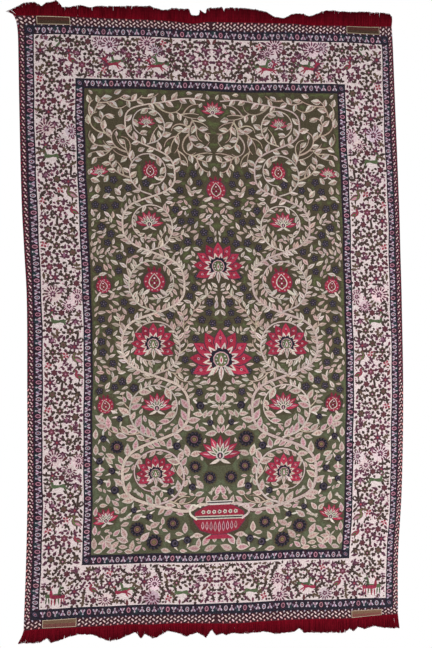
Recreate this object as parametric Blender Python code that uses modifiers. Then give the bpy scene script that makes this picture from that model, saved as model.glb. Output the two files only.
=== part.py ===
"""Woven wall tapestry: one hanging cloth with a crimson fringe along its top and its bottom edge.

The cloth hangs in the XZ plane with its front towards -Y. The origin is the middle of the cloth's top edge.
A place on the cloth is given as across (from the left edge) and down (from the top edge), both in metres of
flat cloth, and hang() says where that place is once the cloth hangs.
"""
import math

import bmesh
import bpy
from mathutils import Vector

MM = 0.001

# Driving sizes of the flat cloth, in metres.
CLOTH_WIDTH = 1.250
CLOTH_HEIGHT = 2.000
CLOTH_THICKNESS = 0.002

# How finely the hanging cloth is divided.
COLUMNS = 50
ROWS = 28
ROW_CROWDING = 0.65

# The side edges don't hang straight. Sideways drift of each edge, to the right, in millimetres.
SIDE_DRIFT = (
    # part of the way down, left edge, right edge
    (0.00, -8, -10),
    (0.14, -6, 0),
    (0.30, -1, 12),
    (0.38, 6, 16),
    (0.46, 13, 20),
    (0.62, 12, 24),
    (0.78, 10, 18),
    (0.90, 3, 4),
    (1.00, -6, 3),
)

# How far the top edge rises above a straight line, in millimetres. Where it dips it also tips forward.
TOP_EDGE = (
    # across, rise
    (0, -1),
    (170, 1),
    (345, 0),
    (445, -2),
    (505, -6),
    (570, -14),
    (615, -4),
    (680, -1),
    (795, 2),
    (913, 2),
    (950, -3),
    (998, -4),
    (1085, -1),
    (1187, 0),
    (1250, 7),
)

# The same for the bottom edge.
BOTTOM_EDGE = (
    # across, rise
    (0, -2),
    (60, 2),
    (275, 4),
    (342, 6),
    (410, 3),
    (490, 5),
    (607, 1),
    (708, -3),
    (776, 0),
    (880, 3),
    (980, 4),
    (1085, 3),
    (1190, 9),
    (1250, 8),
)
EDGE_REACH = 0.030
DROOP = 0.0075

# Soft upright folds: place and half width in millimetres, and how far each stands forward.
FOLDS = (
    # across at the top, across at the bottom, half width, forward at the top, forward at the bottom
    (90, 60, 70, 4, 2),
    (300, 330, 110, -4, -3),
    (560, 600, 80, 6, 2),
    (800, 770, 120, -5, -4),
    (1010, 1040, 80, 5, 5),
)
CURL_WIDTH = 0.060
CURL_BACK = 0.010
CORNER_FLARE = 0.014
FLARE_REACH = 0.022

# The fringe: a narrow backing strip just off the cloth's edge, and locks of yarn that grow out of it.
EDGE_GAP = 0.0003
STRIP_WIDTH = 0.005
LOCKS = 2 * COLUMNS
LOCK_STEPS = (
    # part of the length, part of the root's width, thickness against the root's
    (0.50, 0.90, 2.2),
    (1.00, 0.56, 1.1),
)
LENGTH_SWING = 0.0025
LEAN_SWING = 0.0015
FORWARD_SWING = 0.003
SWING_TURN = 2.4

# Reach of the fringe past the cloth's edge and its sideways lean to the right, in millimetres.
TOP_FRINGE = (
    # across, length, lean
    (0, 13, -24),
    (15, 28, -14),
    (35, 44, -8),
    (58, 46, -2),
    (75, 31, 2),
    (90, 44, 3),
    (123, 53, 1),
    (145, 32, -1),
    (170, 32, 0),
    (200, 42, 2),
    (229, 34, 0),
    (262, 40, -1),
    (340, 43, 1),
    (425, 47, 2),
    (472, 34, -1),
    (501, 43, 0),
    (550, 48, 2),
    (566, 29, 1),
    (596, 25, 0),
    (625, 44, -2),
    (667, 50, 0),
    (720, 50, 1),
    (778, 47, -1),
    (822, 38, -2),
    (845, 22, 0),
    (876, 19, 2),
    (903, 33, 1),
    (940, 37, 0),
    (964, 31, -1),
    (1015, 51, 1),
    (1101, 49, 0),
    (1187, 50, 2),
    (1239, 43, 3),
    (1250, 34, 2),
)
BOTTOM_FRINGE = (
    # across, length, lean
    (0, 43, -18),
    (25, 45, -8),
    (52, 47, -2),
    (76, 33, 0),
    (85, 48, 1),
    (111, 44, 0),
    (134, 35, -1),
    (176, 25, 0),
    (222, 28, 1),
    (258, 46, 1),
    (281, 54, 0),
    (304, 50, -1),
    (327, 42, -1),
    (363, 28, 0),
    (378, 50, 1),
    (393, 32, 0),
    (419, 47, -1),
    (436, 43, 0),
    (466, 26, 1),
    (499, 32, 0),
    (529, 46, 0),
    (566, 31, -1),
    (597, 49, -2),
    (613, 22, 0),
    (628, 43, 1),
    (647, 34, 0),
    (663, 40, 0),
    (680, 33, -1),
    (734, 38, 0),
    (789, 36, 1),
    (829, 46, 0),
    (891, 43, 0),
    (910, 31, -1),
    (925, 47, 0),
    (987, 48, 1),
    (1028, 48, 0),
    (1063, 49, 0),
    (1080, 36, -1),
    (1091, 47, 1),
    (1108, 33, 0),
    (1130, 43, 1),
    (1160, 36, 0),
    (1205, 46, 2),
    (1250, 50, 7),
)

WOOL_ROUGHNESS = 0.9
COLORS = {
    "cloth": (0.36, 0.31, 0.23, 1.0),
    "fringe_top": (0.10, 0.006, 0.022, 1.0),
    "fringe_bottom": (0.09, 0.005, 0.022, 1.0),
}
NAME = "woven_wall_tapestry"


def smooth_row(table, place, column):
    """One column of a table at a place between its rows, on a smooth curve through them."""
    if place <= table[0][0]:
        return table[0][column]
    if place >= table[-1][0]:
        return table[-1][column]
    index = max(i for i in range(len(table) - 1) if table[i][0] <= place)

    def slope(row):
        before = table[max(row - 1, 0)]
        after = table[min(row + 1, len(table) - 1)]
        return (after[column] - before[column]) / (after[0] - before[0])

    start, end = table[index], table[index + 1]
    span = end[0] - start[0]
    t = (place - start[0]) / span
    ease = t * t * (3 - 2 * t)
    swing = slope(index) * (t - 2 * t ** 2 + t ** 3) + slope(index + 1) * (t ** 3 - t ** 2)
    return start[column] * (1 - ease) + end[column] * ease + span * swing


def straight_row(table, place, column):
    """One column of a table at a place between its rows, on straight lines through them."""
    index = max(i for i in range(len(table) - 1) if table[i][0] <= place or i == 0)
    start, end = table[index], table[index + 1]
    t = (place - start[0]) / (end[0] - start[0])
    return start[column] + (end[column] - start[column]) * t


def fold_depth(across, down):
    """How far the folds bring a place forward, in metres."""
    part = down / CLOTH_HEIGHT
    forward = 0.0
    for top, bottom, half_width, at_top, at_bottom in FOLDS:
        middle = (top + (bottom - top) * part) * MM
        height = (at_top + (at_bottom - at_top) * part) * MM
        forward += height * math.exp(-((across - middle) / (half_width * MM)) ** 2)
    curl = max(0.0, (across - CLOTH_WIDTH + CURL_WIDTH) / CURL_WIDTH)
    return forward - CURL_BACK * curl ** 2


def hang_loose(across, down):
    """Where a place on the flat cloth hangs, measured from the middle of a straight top edge."""
    part = down / CLOTH_HEIGHT
    left = -CLOTH_WIDTH / 2 + smooth_row(SIDE_DRIFT, part, 1) * MM
    right = CLOTH_WIDTH / 2 + smooth_row(SIDE_DRIFT, part, 2) * MM
    top_rise = smooth_row(TOP_EDGE, across / MM, 1) * MM * math.exp(-down / EDGE_REACH)
    bottom_rise = smooth_row(BOTTOM_EDGE, across / MM, 1) * MM * math.exp((down - CLOTH_HEIGHT) / EDGE_REACH)
    flare = CORNER_FLARE * math.exp(-(across + down) / FLARE_REACH)
    x = left + (right - left) * across / CLOTH_WIDTH - flare
    y = top_rise - fold_depth(across, down)
    z = -down - DROOP * (across / CLOTH_WIDTH - 0.5) + top_rise + bottom_rise
    return Vector((x, y, z))


ORIGIN = hang_loose(CLOTH_WIDTH / 2, 0.0)


def hang(across, down):
    """Where a place on the flat cloth hangs, measured from the middle of the real top edge."""
    return hang_loose(across, down) - ORIGIN


def crowded(part):
    """Moves evenly spaced rows towards both ends, where the edges need them."""
    return part - ROW_CROWDING * math.sin(2 * math.pi * part) / (2 * math.pi)


FIRST_ROW = crowded(1 / ROWS) * CLOTH_HEIGHT


def past_edge(across, distance, edge):
    """A place past the top edge (0) or bottom edge (1), straight on from the cloth's last row of faces."""
    column_width = CLOTH_WIDTH / COLUMNS
    column = min(int(across / column_width + 1e-6), COLUMNS - 1)
    edge_down = edge * CLOTH_HEIGHT
    inner_down = FIRST_ROW if edge == 0 else CLOTH_HEIGHT - FIRST_ROW

    def beyond(station):
        rim = hang(station, edge_down)
        inner = hang(station, inner_down)
        return rim + (rim - inner).normalized() * distance

    near = beyond(column * column_width)
    far = beyond((column + 1) * column_width)
    return near.lerp(far, across / column_width - column)


def new_material(name):
    material = bpy.data.materials.new(name)
    material.use_nodes = True
    shader = material.node_tree.nodes["Principled BSDF"]
    shader.inputs["Base Color"].default_value = COLORS[name]
    shader.inputs["Roughness"].default_value = WOOL_ROUGHNESS
    shader.inputs["Metallic"].default_value = 0.0
    return material


def add_sheet(name, columns, rows, place, collection):
    """A thin sheet: a flat grid whose points are moved by place(x part, y part), then given its thickness."""
    mesh = bpy.data.meshes.new(name)
    grid = bmesh.new()
    bmesh.ops.create_grid(grid, x_segments=columns, y_segments=rows, size=0.5)
    for vertex in grid.verts:
        vertex.co = place(vertex.co.x + 0.5, vertex.co.y + 0.5)
    grid.to_mesh(mesh)
    grid.free()
    sheet = bpy.data.objects.new(name, mesh)
    sheet.data.materials.append(new_material(name))
    collection.objects.link(sheet)
    solidify = sheet.modifiers.new("thickness", "SOLIDIFY")
    solidify.thickness = CLOTH_THICKNESS
    solidify.offset = 0.0
    return sheet


def make_cloth(collection):
    def place(x_part, y_part):
        return hang(x_part * CLOTH_WIDTH, crowded(1 - y_part) * CLOTH_HEIGHT)

    return add_sheet("cloth", COLUMNS, ROWS, place, collection)


def freeze_modifiers(item):
    """Turns what the modifiers make into the object's own mesh."""
    bpy.context.view_layer.update()
    depsgraph = bpy.context.evaluated_depsgraph_get()
    mesh = bpy.data.meshes.new_from_object(item.evaluated_get(depsgraph))
    item.modifiers.clear()
    item.data = mesh
    mesh.name = item.name


def grow_lock(shape, root, length, lean, forward, upward):
    """Draws one root face out into a tapering lock of yarn."""
    start = root.calc_center_median()
    root_offsets = None
    face = root
    for part, width, thickness in LOCK_STEPS:
        face = bmesh.ops.extrude_discrete_faces(shape, faces=[face])["faces"][0]
        if root_offsets is None:
            root_offsets = [vertex.co - start for vertex in face.verts]
        centre = start + Vector((lean * part ** 1.5, -forward * part, upward * length * part))
        for vertex, offset in zip(face.verts, root_offsets):
            vertex.co = centre + Vector((offset.x * width, offset.y * thickness, offset.z * width))


def make_fringe(name, edge, table, collection):
    """A backing strip along one edge, and a row of locks that grow out of its far side."""
    upward = 1 - 2 * edge

    def place(x_part, y_part):
        away = y_part if edge == 0 else 1 - y_part
        return past_edge(x_part * CLOTH_WIDTH, EDGE_GAP + away * STRIP_WIDTH, edge)

    fringe = add_sheet(name, LOCKS, 1, place, collection)
    freeze_modifiers(fringe)
    shape = bmesh.new()
    shape.from_mesh(fringe.data)
    shape.normal_update()
    roots = [face for face in shape.faces if face.normal.z * upward > 0.6]
    roots.sort(key=lambda face: face.calc_center_median().x)
    for number, root in enumerate(roots):
        across = (number + 0.5) / LOCKS * CLOTH_WIDTH / MM
        swing = math.sin(number * SWING_TURN)
        cross_swing = math.cos(number * number * SWING_TURN)
        length = straight_row(table, across, 1) * MM - STRIP_WIDTH + LENGTH_SWING * swing
        lean = straight_row(table, across, 2) * MM + LEAN_SWING * cross_swing
        grow_lock(shape, root, length, lean, FORWARD_SWING * cross_swing, upward)
    shape.to_mesh(fringe.data)
    shape.free()
    return fringe


def main():
    for item in list(bpy.data.objects):
        bpy.data.objects.remove(item, do_unlink=True)
    collection = bpy.data.collections.new(NAME)
    bpy.context.scene.collection.children.link(collection)
    make_cloth(collection)
    make_fringe("fringe_top", 0, TOP_FRINGE, collection)
    make_fringe("fringe_bottom", 1, BOTTOM_FRINGE, collection)


main()
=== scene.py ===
"""Looks of the woven wall tapestry: the woven pattern, the cloth's face and reverse, and two yarn fringes.

The pattern is drawn as outlines in millimetres of flat cloth, x to the right from the left edge and y down
from the top edge. hang() then says where each place of the flat cloth is once the cloth hangs, in metres.
"""
import math
import random

import bpy
import numpy as np
from mathutils import Matrix, Vector
from mathutils.geometry import delaunay_2d_cdt


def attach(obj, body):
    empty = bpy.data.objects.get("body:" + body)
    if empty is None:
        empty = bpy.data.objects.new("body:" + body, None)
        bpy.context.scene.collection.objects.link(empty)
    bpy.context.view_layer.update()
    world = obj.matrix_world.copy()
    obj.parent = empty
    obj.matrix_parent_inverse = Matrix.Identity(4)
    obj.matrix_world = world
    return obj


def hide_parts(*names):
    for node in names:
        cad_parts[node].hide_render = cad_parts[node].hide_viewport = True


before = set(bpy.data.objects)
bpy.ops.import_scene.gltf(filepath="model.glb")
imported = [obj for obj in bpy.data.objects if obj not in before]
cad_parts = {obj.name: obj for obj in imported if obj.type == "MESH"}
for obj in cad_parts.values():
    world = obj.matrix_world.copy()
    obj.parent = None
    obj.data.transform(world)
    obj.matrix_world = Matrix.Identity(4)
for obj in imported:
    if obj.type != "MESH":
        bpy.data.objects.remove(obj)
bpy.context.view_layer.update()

MM = 0.001

# The flat cloth, in millimetres, and its thickness.
WIDTH = 1250
HEIGHT = 2000
THICKNESS = 2.0

# Sideways drift of each side edge, to the right, in millimetres.
SIDE_DRIFT = (
    # part of the way down, left edge, right edge
    (0.00, -8, -10),
    (0.14, -6, 0),
    (0.30, -1, 12),
    (0.38, 6, 16),
    (0.46, 13, 20),
    (0.62, 12, 24),
    (0.78, 10, 18),
    (0.90, 3, 4),
    (1.00, -6, 3),
)

# Rise of the top and bottom edges above a straight line, in millimetres.
TOP_EDGE = (
    # across, rise
    (0, -1), (170, 1), (345, 0), (445, -2), (505, -6), (570, -14), (615, -4), (680, -1),
    (795, 2), (913, 2), (950, -3), (998, -4), (1085, -1), (1187, 0), (1250, 7),
)
BOTTOM_EDGE = (
    # across, rise
    (0, -2), (60, 2), (275, 4), (342, 6), (410, 3), (490, 5), (607, 1), (708, -3),
    (776, 0), (880, 3), (980, 4), (1085, 3), (1190, 9), (1250, 8),
)
EDGE_REACH = 30.0
DROOP = 7.5

# Soft upright folds, in millimetres.
FOLDS = (
    # across at the top, across at the bottom, half width, forward at the top, forward at the bottom
    (90, 60, 70, 4, 2),
    (300, 330, 110, -4, -3),
    (560, 600, 80, 6, 2),
    (800, 770, 120, -5, -4),
    (1010, 1040, 80, 5, 5),
)
CURL_WIDTH = 60.0
CURL_BACK = 10.0
CORNER_FLARE = 14.0
FLARE_REACH = 22.0

# Bands of the pattern, as drawn and as they came out in the weaving, in millimetres.
DRAWN_X = (0, 19, 46, 177, 206, 1044, 1073, 1204, 1231, 1250)
WOVEN_X = (0, 20, 49, 180, 209, 1049, 1077, 1207, 1232, 1250)
BANDS_Y = (0, 29, 58, 198, 230, 1762, 1794, 1932, 1968, 2000)
CENTRE_X = 625

# Spacing of the points along the cloth's edge and along the edges of its plain grounds, in millimetres.
EDGE_SPACING = 10.0
GROUND_STEP = 60

# Painted dimming: the yarns' brightness under this scene's lights, as a part of the colours below, and how
# their dye varies.
PAINTED_DIMMING = 0.67
DYE_SPREAD = 0.10
HUE_SPREAD = 0.03
DYE_RANGE = (0.7, 1.35)

# Yarn colours as seen in daylight, red, green and blue from 0 to 255.
YARNS = {
    "maroon": (66, 16, 28),
    "navy": (22, 22, 36),
    "navy_light": (68, 62, 76),
    "ink": (24, 22, 28),
    "guard_plum": (44, 20, 36),
    "guard_teal": (26, 42, 48),
    "braid_dark": (54, 22, 32),
    "braid_cream": (212, 186, 184),
    "rosebud": (210, 140, 142),
    "berry": (100, 50, 68),
    "rosy": (172, 118, 136),
    "bar_rim": (180, 166, 142),
    "bar_rust": (112, 66, 60),
    "bar_gold": (104, 78, 60),
    "cream": (208, 193, 192),
    "pink": (182, 140, 148),
    "rose": (176, 116, 130),
    "plum": (80, 43, 60),
    "mauve": (132, 86, 108),
    "brown": (82, 66, 54),
    "umber": (58, 45, 42),
    "green": (74, 88, 62),
    "moss": (94, 100, 66),
    "crimson": (142, 34, 56),
    "scarlet": (158, 44, 68),
    "deer_red": (134, 40, 64),
    "brick": (138, 54, 68),
    "olive_top": (79, 87, 53),
    "olive_low": (84, 93, 70),
    "shade": (67, 61, 45),
    "vine_edge": (70, 50, 44),
    "salmon": (180, 156, 149),
    "ivory": (196, 183, 174),
    "bark": (181, 168, 158),
    "rose_grey": (150, 106, 104),
    "wine": (112, 26, 48),
    "pearl": (176, 163, 176),
    "haze": (112, 96, 118),
    "blush": (204, 182, 187),
    "leaf_side": (150, 134, 120),
    "twig": (168, 152, 134),
    "bar": (60, 44, 32),
    "bar_red": (72, 36, 31),
    "gold": (128, 104, 70),
    "maroon_brown": (86, 44, 47),
}


def daylight(colour):
    """A colour from 0 to 255 as the linear light values that shaders use."""
    parts = np.array(colour, float) / 255
    return np.where(parts <= 0.04045, parts / 12.92, ((parts + 0.055) / 1.055) ** 2.4)


def smooth_column(table, places, column):
    """One column of a table read at many places, on smooth curves through its rows."""
    rows = np.array(table, float)
    keys, values = rows[:, 0], rows[:, column]
    slopes = np.empty_like(values)
    slopes[1:-1] = (values[2:] - values[:-2]) / (keys[2:] - keys[:-2])
    slopes[0] = (values[1] - values[0]) / (keys[1] - keys[0])
    slopes[-1] = (values[-1] - values[-2]) / (keys[-1] - keys[-2])
    places = np.clip(places, keys[0], keys[-1])
    index = np.clip(np.searchsorted(keys, places, side="right") - 1, 0, len(keys) - 2)
    span = keys[index + 1] - keys[index]
    t = (places - keys[index]) / span
    ease = t * t * (3 - 2 * t)
    swing = slopes[index] * (t - 2 * t ** 2 + t ** 3) + slopes[index + 1] * (t ** 3 - t ** 2)
    return values[index] * (1 - ease) + values[index + 1] * ease + span * swing


def hang_loose(across, down):
    """Where places of the flat cloth hang, in millimetres from the middle of a straight top edge."""
    part = down / HEIGHT
    left = -WIDTH / 2 + smooth_column(SIDE_DRIFT, part, 1)
    right = WIDTH / 2 + smooth_column(SIDE_DRIFT, part, 2)
    top_rise = smooth_column(TOP_EDGE, across, 1) * np.exp(-down / EDGE_REACH)
    bottom_rise = smooth_column(BOTTOM_EDGE, across, 1) * np.exp((down - HEIGHT) / EDGE_REACH)
    forward = np.zeros_like(part)
    for top, bottom, half_width, at_top, at_bottom in FOLDS:
        middle = top + (bottom - top) * part
        height = at_top + (at_bottom - at_top) * part
        forward += height * np.exp(-((across - middle) / half_width) ** 2)
    curl = np.maximum(0.0, (across - WIDTH + CURL_WIDTH) / CURL_WIDTH)
    forward -= CURL_BACK * curl ** 2
    flare = CORNER_FLARE * np.exp(-(across + down) / FLARE_REACH)
    x = left + (right - left) * across / WIDTH - flare
    z = -down - DROOP * (across / WIDTH - 0.5) + top_rise + bottom_rise
    return np.stack([x, top_rise - forward, z], axis=-1)


ORIGIN = hang_loose(np.array([WIDTH / 2]), np.array([0.0]))[0]


def hang(across, down):
    """Where places of the flat cloth hang, in metres, in the part's own frame."""
    return (hang_loose(np.asarray(across, float), np.asarray(down, float)) - ORIGIN) * MM


# Outlines, drawn in millimetres about a motif's own origin with its tip upwards


def almond(length, width, steps=4, base=0.0, lean=0.0):
    """A pointed leaf from its base to its tip, widest a little below the middle."""
    right = []
    left = []
    for step in range(1, steps):
        t = step / steps
        half = width / 2 * math.sin(math.pi * t ** 0.8)
        middle = lean * t * t
        right.append((middle + half, base + length * t))
        left.append((middle - half, base + length * t))
    return [(0, base)] + right + [(lean, base + length)] + left[::-1]


def half_almond(length, width, base=0.0, lean=0.0):
    """The left half of a pointed leaf."""
    return [
        (0, base),
        (lean * 0.25, base + length * 0.5),
        (lean, base + length),
        (lean * 0.45 - width * 0.40, base + length * 0.62),
        (lean * 0.08 - width * 0.46, base + length * 0.30),
    ]


def drop(length, width, base=0.0):
    """A bead of yarn: pointed at its base, round at its tip."""
    radius = width / 2
    head = base + length - radius
    turns = [math.radians(turn) for turn in (-25, 20, 65, 115, 160, 205)]
    return [(0, base)] + [(radius * math.cos(turn), head + radius * math.sin(turn)) for turn in turns]


def disc(radius, count, x=0.0, y=0.0, squash=1.0):
    """A round or oval outline of that many corners."""
    turns = [2 * math.pi * step / count for step in range(count)]
    return [(x + radius * squash * math.cos(turn), y + radius * math.sin(turn)) for turn in turns]


def scallop(radius, lobes, depth, x=0.0, y=0.0, turn=0.0):
    """A round flower outline with that many lobes."""
    outline = []
    for step in range(3 * lobes):
        angle = 2 * math.pi * step / (3 * lobes) + turn
        reach = radius * (1 - depth) if step % 3 == 0 else radius
        outline.append((x + reach * math.cos(angle), y + reach * math.sin(angle)))
    return outline


def smooth_path(points, spacing):
    """Evenly spaced points on a smooth curve through the given ones."""
    points = [Vector(point).to_2d() for point in points]
    ends = [2 * points[0] - points[1]] + points + [2 * points[-1] - points[-2]]
    path = []
    for before, start, end, after in zip(ends, ends[1:], ends[2:], ends[3:]):
        steps = max(2, round((end - start).length / spacing))
        for step in range(steps):
            t = step / steps
            square = (2 * before - 5 * start + 4 * end - after) * t * t
            cube = (3 * start - before - 3 * end + after) * t ** 3
            path.append(0.5 * (2 * start + (end - before) * t + square + cube))
    path.append(points[-1])
    return path


def band(path, start_width, end_width):
    """The outline of a stem along a path, from one width to another."""
    left = []
    right = []
    for number, point in enumerate(path):
        before = path[max(number - 1, 0)]
        after = path[min(number + 1, len(path) - 1)]
        along = (after - before).normalized()
        part = number / (len(path) - 1)
        side = Vector((-along.y, along.x)) * (start_width + (end_width - start_width) * part) / 2
        left.append(tuple(point + side))
        right.append(tuple(point - side))
    return left + right[::-1]


def turned(outline, turn=0.0, x=0.0, y=0.0, size=1.0):
    """An outline turned anticlockwise by degrees about the origin, then moved."""
    c = math.cos(math.radians(turn)) * size
    s = math.sin(math.radians(turn)) * size
    return [(x + px * c - py * s, y + px * s + py * c) for px, py in outline]


def placed(parts, turn=0.0, x=0.0, y=0.0, size=1.0):
    """A motif, which is a list of outlines and their yarns, turned, moved and resized as one."""
    return [(turned(outline, turn, x, y, size), yarn) for outline, yarn in parts]


def spread(outline, turns, yarn, x=0.0, y=0.0):
    """One outline in one yarn, at several turns."""
    return [(turned(outline, turn, x, y), yarn) for turn in turns]


# The drawing. Its cells, in millimetres, make the search for free places short.

CELL = 30.0

# Levels of the drawing. Outlines of a later level lie over those of an earlier one.
GROUND, HALO, MOTIF, LEAF, FLOWER, GUARD_GROUND, RIM = range(7)
HALO_YARNS = ("shade", "vine_edge")
PATTERN_SEED = 5


class Drawing:
    """The weaver's drawing: outlines on the flat cloth, on levels, and the places that are taken."""

    def __init__(self):
        self.shapes = []
        self.level = MOTIF
        self.cells = {}
        self.random = random.Random(PATTERN_SEED)

    def lay(self, outline, yarn, level=None):
        """Adds an outline. Halos go below every motif."""
        if yarn in HALO_YARNS:
            level = HALO
        self.shapes.append((self.level if level is None else level, outline, yarn))

    def stamp(self, parts, x, y, turn=0.0, size=1.0, level=None):
        """Lays a motif at a place on the cloth, turned anticlockwise by degrees."""
        for outline, yarn in placed(parts, turn, size=size):
            self.lay([(x + px, y - py) for px, py in outline], yarn, level)

    def cells_near(self, x, y, radius):
        """The cells that a circle may touch."""
        for column in range(int((x - radius) // CELL), int((x + radius) // CELL) + 1):
            for row in range(int((y - radius) // CELL), int((y + radius) // CELL) + 1):
                yield column, row

    def take(self, x, y, radius):
        """Keeps a circle for what is laid there."""
        for cell in self.cells_near(x, y, radius):
            self.cells.setdefault(cell, []).append((x, y, radius))

    def is_free(self, x, y, radius):
        """Whether a circle touches none that is taken."""
        for cell in self.cells_near(x, y, radius):
            for other_x, other_y, other_radius in self.cells.get(cell, ()):
                if math.hypot(x - other_x, y - other_y) < radius + other_radius:
                    return False
        return True

    def add_mirrored(self):
        """Repeats the whole left half on the right, as the loom does."""
        for level, outline, yarn in list(self.shapes):
            self.shapes.append((level, [(2 * CENTRE_X - x, y) for x, y in outline], yarn))

    def in_order(self):
        """Outlines and yarns from the lowest level to the highest."""
        ordered = sorted(self.shapes, key=lambda shape: shape[0])
        return [shape[1] for shape in ordered], [shape[2] for shape in ordered]


def rectangle(left, top, right, bottom, spacing=None):
    """A rectangle's four corners, with points between them where a spacing is given."""
    corners = [(left, top), (right, top), (right, bottom), (left, bottom)]
    if spacing is None:
        return corners
    outline = []
    for start, end in zip(corners, corners[1:] + corners[:1]):
        steps = max(1, round(math.dist(start, end) / spacing))
        for step in range(steps):
            t = step / steps
            outline.append(tuple(near + (far - near) * t for near, far in zip(start, end)))
    return outline


# Small motifs of the rim, in millimetres


def stroke(length, width):
    """A short stitch with two full ends and a thinner waist."""
    half, end = width / 2, length / 2
    thin = half * 0.6
    return [
        (0, -end), (half, -end + half), (thin, -end + width), (thin, end - width), (half, end - half),
        (0, end), (-half, end - half), (-thin, end - width), (-thin, -end + width), (-half, -end + half),
    ]


def guard_ring(rim, heart):
    """An oval ring with a bright middle."""
    return [
        (disc(9.0, 9, squash=0.72), rim),
        (disc(6.2, 7, squash=0.64), "ink"),
        (disc(2.7, 5, squash=0.8), heart),
    ]


def guard_sprig():
    """A lily: two petals that open from a round foot, with a pointed bud between them."""
    return [
        (turned(drop(15, 5.4), 29, 0.4, -5), "pearl"),
        (turned(drop(15, 5.4), -29, -0.4, -5), "pearl"),
        (almond(14, 4.6, 3, -4), "mauve"),
        (disc(2.9, 6, 0, -7), "pearl"),
    ]


def guard_bead():
    """A small round bead with a dark eye."""
    return [(disc(3.9, 6), "haze"), (disc(1.7, 4, 0.6, 0.4), "plum")]


# Small motifs of the border


def rosette(yarn, heart, leaves, count, size, start, eye="plum"):
    """A scalloped flower with plump leaves of two lengths all round it."""
    parts = []
    for number in range(count):
        leaf = almond(18.0, 11.0, 3, 10.6) if number % 2 else almond(14.0, 10.4, 3, 12.9)
        parts.append((turned(leaf, start + 360 * number / count), leaves))
    parts += [(scallop(13.0, 6, 0.28), yarn), (disc(8.06, 7), heart), (disc(3.12, 4), eye)]
    return placed(parts, size=size)


def star():
    """Six pointed petals round a small eye."""
    return spread(almond(19, 8.2, 3), range(0, 360, 60), "plum") + [(disc(3.6, 6), "brick")]


def tulip(yarn, heart, size=1.0):
    """A spread of pointed petals from one foot."""
    parts = spread(almond(17, 6.2, 3), (-82, 82), yarn) + spread(almond(20, 7.4, 4), (-40, 40), yarn)
    parts += [(almond(20, 8.0, 4), heart), (disc(4.4, 6, 0, -2), yarn)]
    return placed(parts, size=size)


def fan(size):
    """A half-open peony: two tiers of striped petals on a blush ground."""
    parts = [(scallop(23, 9, 0.14, 0, 4), "blush")]
    for number in range(11):
        yarn = "plum" if number % 2 else "berry"
        parts += spread(almond(15, 5.2, 3, 10), [-120 + 24 * number], yarn, 0, 1)
    for number in range(7):
        yarn = "mauve" if number % 2 else "plum"
        parts += spread(almond(9, 4.6, 3, 1.5), [-108 + 36 * number], yarn, 0, 1)
    parts.append((drop(9, 8, -9), "plum"))
    return placed(parts, size=size)


def plume():
    """A feathered leaf with barbs on both sides."""
    parts = [(almond(37, 15, 4), "blush"), (almond(36, 3.4, 3), "plum")]
    for reach in (6, 14, 22):
        parts += spread(almond(10, 4.0, 3), (-46, 46), "plum", 0, reach)
    return parts


def blossom():
    """A small open flower of four petals."""
    return spread(drop(10.5, 8.5, 1), (20, 110, 200, 290), "brick") + [(disc(3.4, 5), "pink")]


def sprig(yarn, count=4):
    """A short stem with leaflets on both sides."""
    parts = [(almond(28, 2.2, 3), "umber")]
    for number in range(count):
        parts.append((turned(almond(13, 6.0, 3), 54 if number % 2 else -54, 0, 3 + 5.2 * number), yarn))
    return parts + [(almond(13, 6.4, 3, 22), yarn)]


def curl(yarn):
    """A curled leaf, like a fiddlehead."""
    path = smooth_path([(0, -20), (4, -5), (11, 8), (7, 19), (-4, 19), (-6, 10), (0, 6)], 6)
    return [(band(path, 9.5, 3.4), yarn), (disc(3.6, 6, 0.5, 9), yarn)]


def gazelle(yarn, size):
    """A running gazelle, facing left."""
    legs = ((132, -10, 0, 17), (108, -12, 1, 15), (236, 13, 1, 18), (214, 11, 0, 16))
    parts = [(turned(almond(length, 4.2, 3), turn, x, y), yarn) for turn, x, y, length in legs]
    parts += [
        ([(-14, 3), (-8, 5), (2, 4), (12, 7), (18, 4), (15, -3), (4, -1), (-8, -4), (-14, -2)], yarn),
        ([(-15, -1), (-16, 8), (-19, 13), (-25, 13), (-24, 17), (-15, 18), (-11, 11), (-9, 3)], yarn),
        (turned(almond(13, 3.6, 3), -38, -17, 16), yarn),
        (turned(almond(10, 4.0, 3), -52, 16, 4), yarn),
    ]
    return placed(parts, size=size)


def pair_of_gazelles():
    """A green gazelle and a crimson one beside it."""
    return placed(gazelle("green", 1.4), 0, 10, 5) + placed(gazelle("deer_red", 1.3), 0, -12, -5)


def standing_deer(yarn, hand):
    """A standing deer. Hand is 1 where it faces left and -1 where it faces right."""
    legs = ((176, -11, 0, 20), (184, -6, 0, 19), (174, 10, 0, 19), (186, 14, 0, 20))
    parts = [turned(almond(length, 3.6, 3), turn, x, y) for turn, x, y, length in legs]
    parts += [
        [(-14, 5), (-5, 6), (6, 5), (15, 7), (18, 3), (16, -3), (5, -2), (-7, -3), (-14, -1)],
        [(-15, -1), (-17, 8), (-16, 16), (-23, 16), (-23, 20), (-14, 22), (-11, 15), (-9, 4)],
        turned(almond(9, 3.0, 3), -24, -13, 20),
        turned(almond(9, 3.0, 3), 14, -15, 20),
    ]
    return [([(px * hand, py) for px, py in turned(outline, size=1.5)], yarn) for outline in parts]


def deer_face_to_face():
    """A crimson deer that stands in front of a green one facing the other way."""
    return placed(standing_deer("green", -1), 0, -6, 2) + placed(standing_deer("deer_red", 1), 0, 7, -2)


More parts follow.
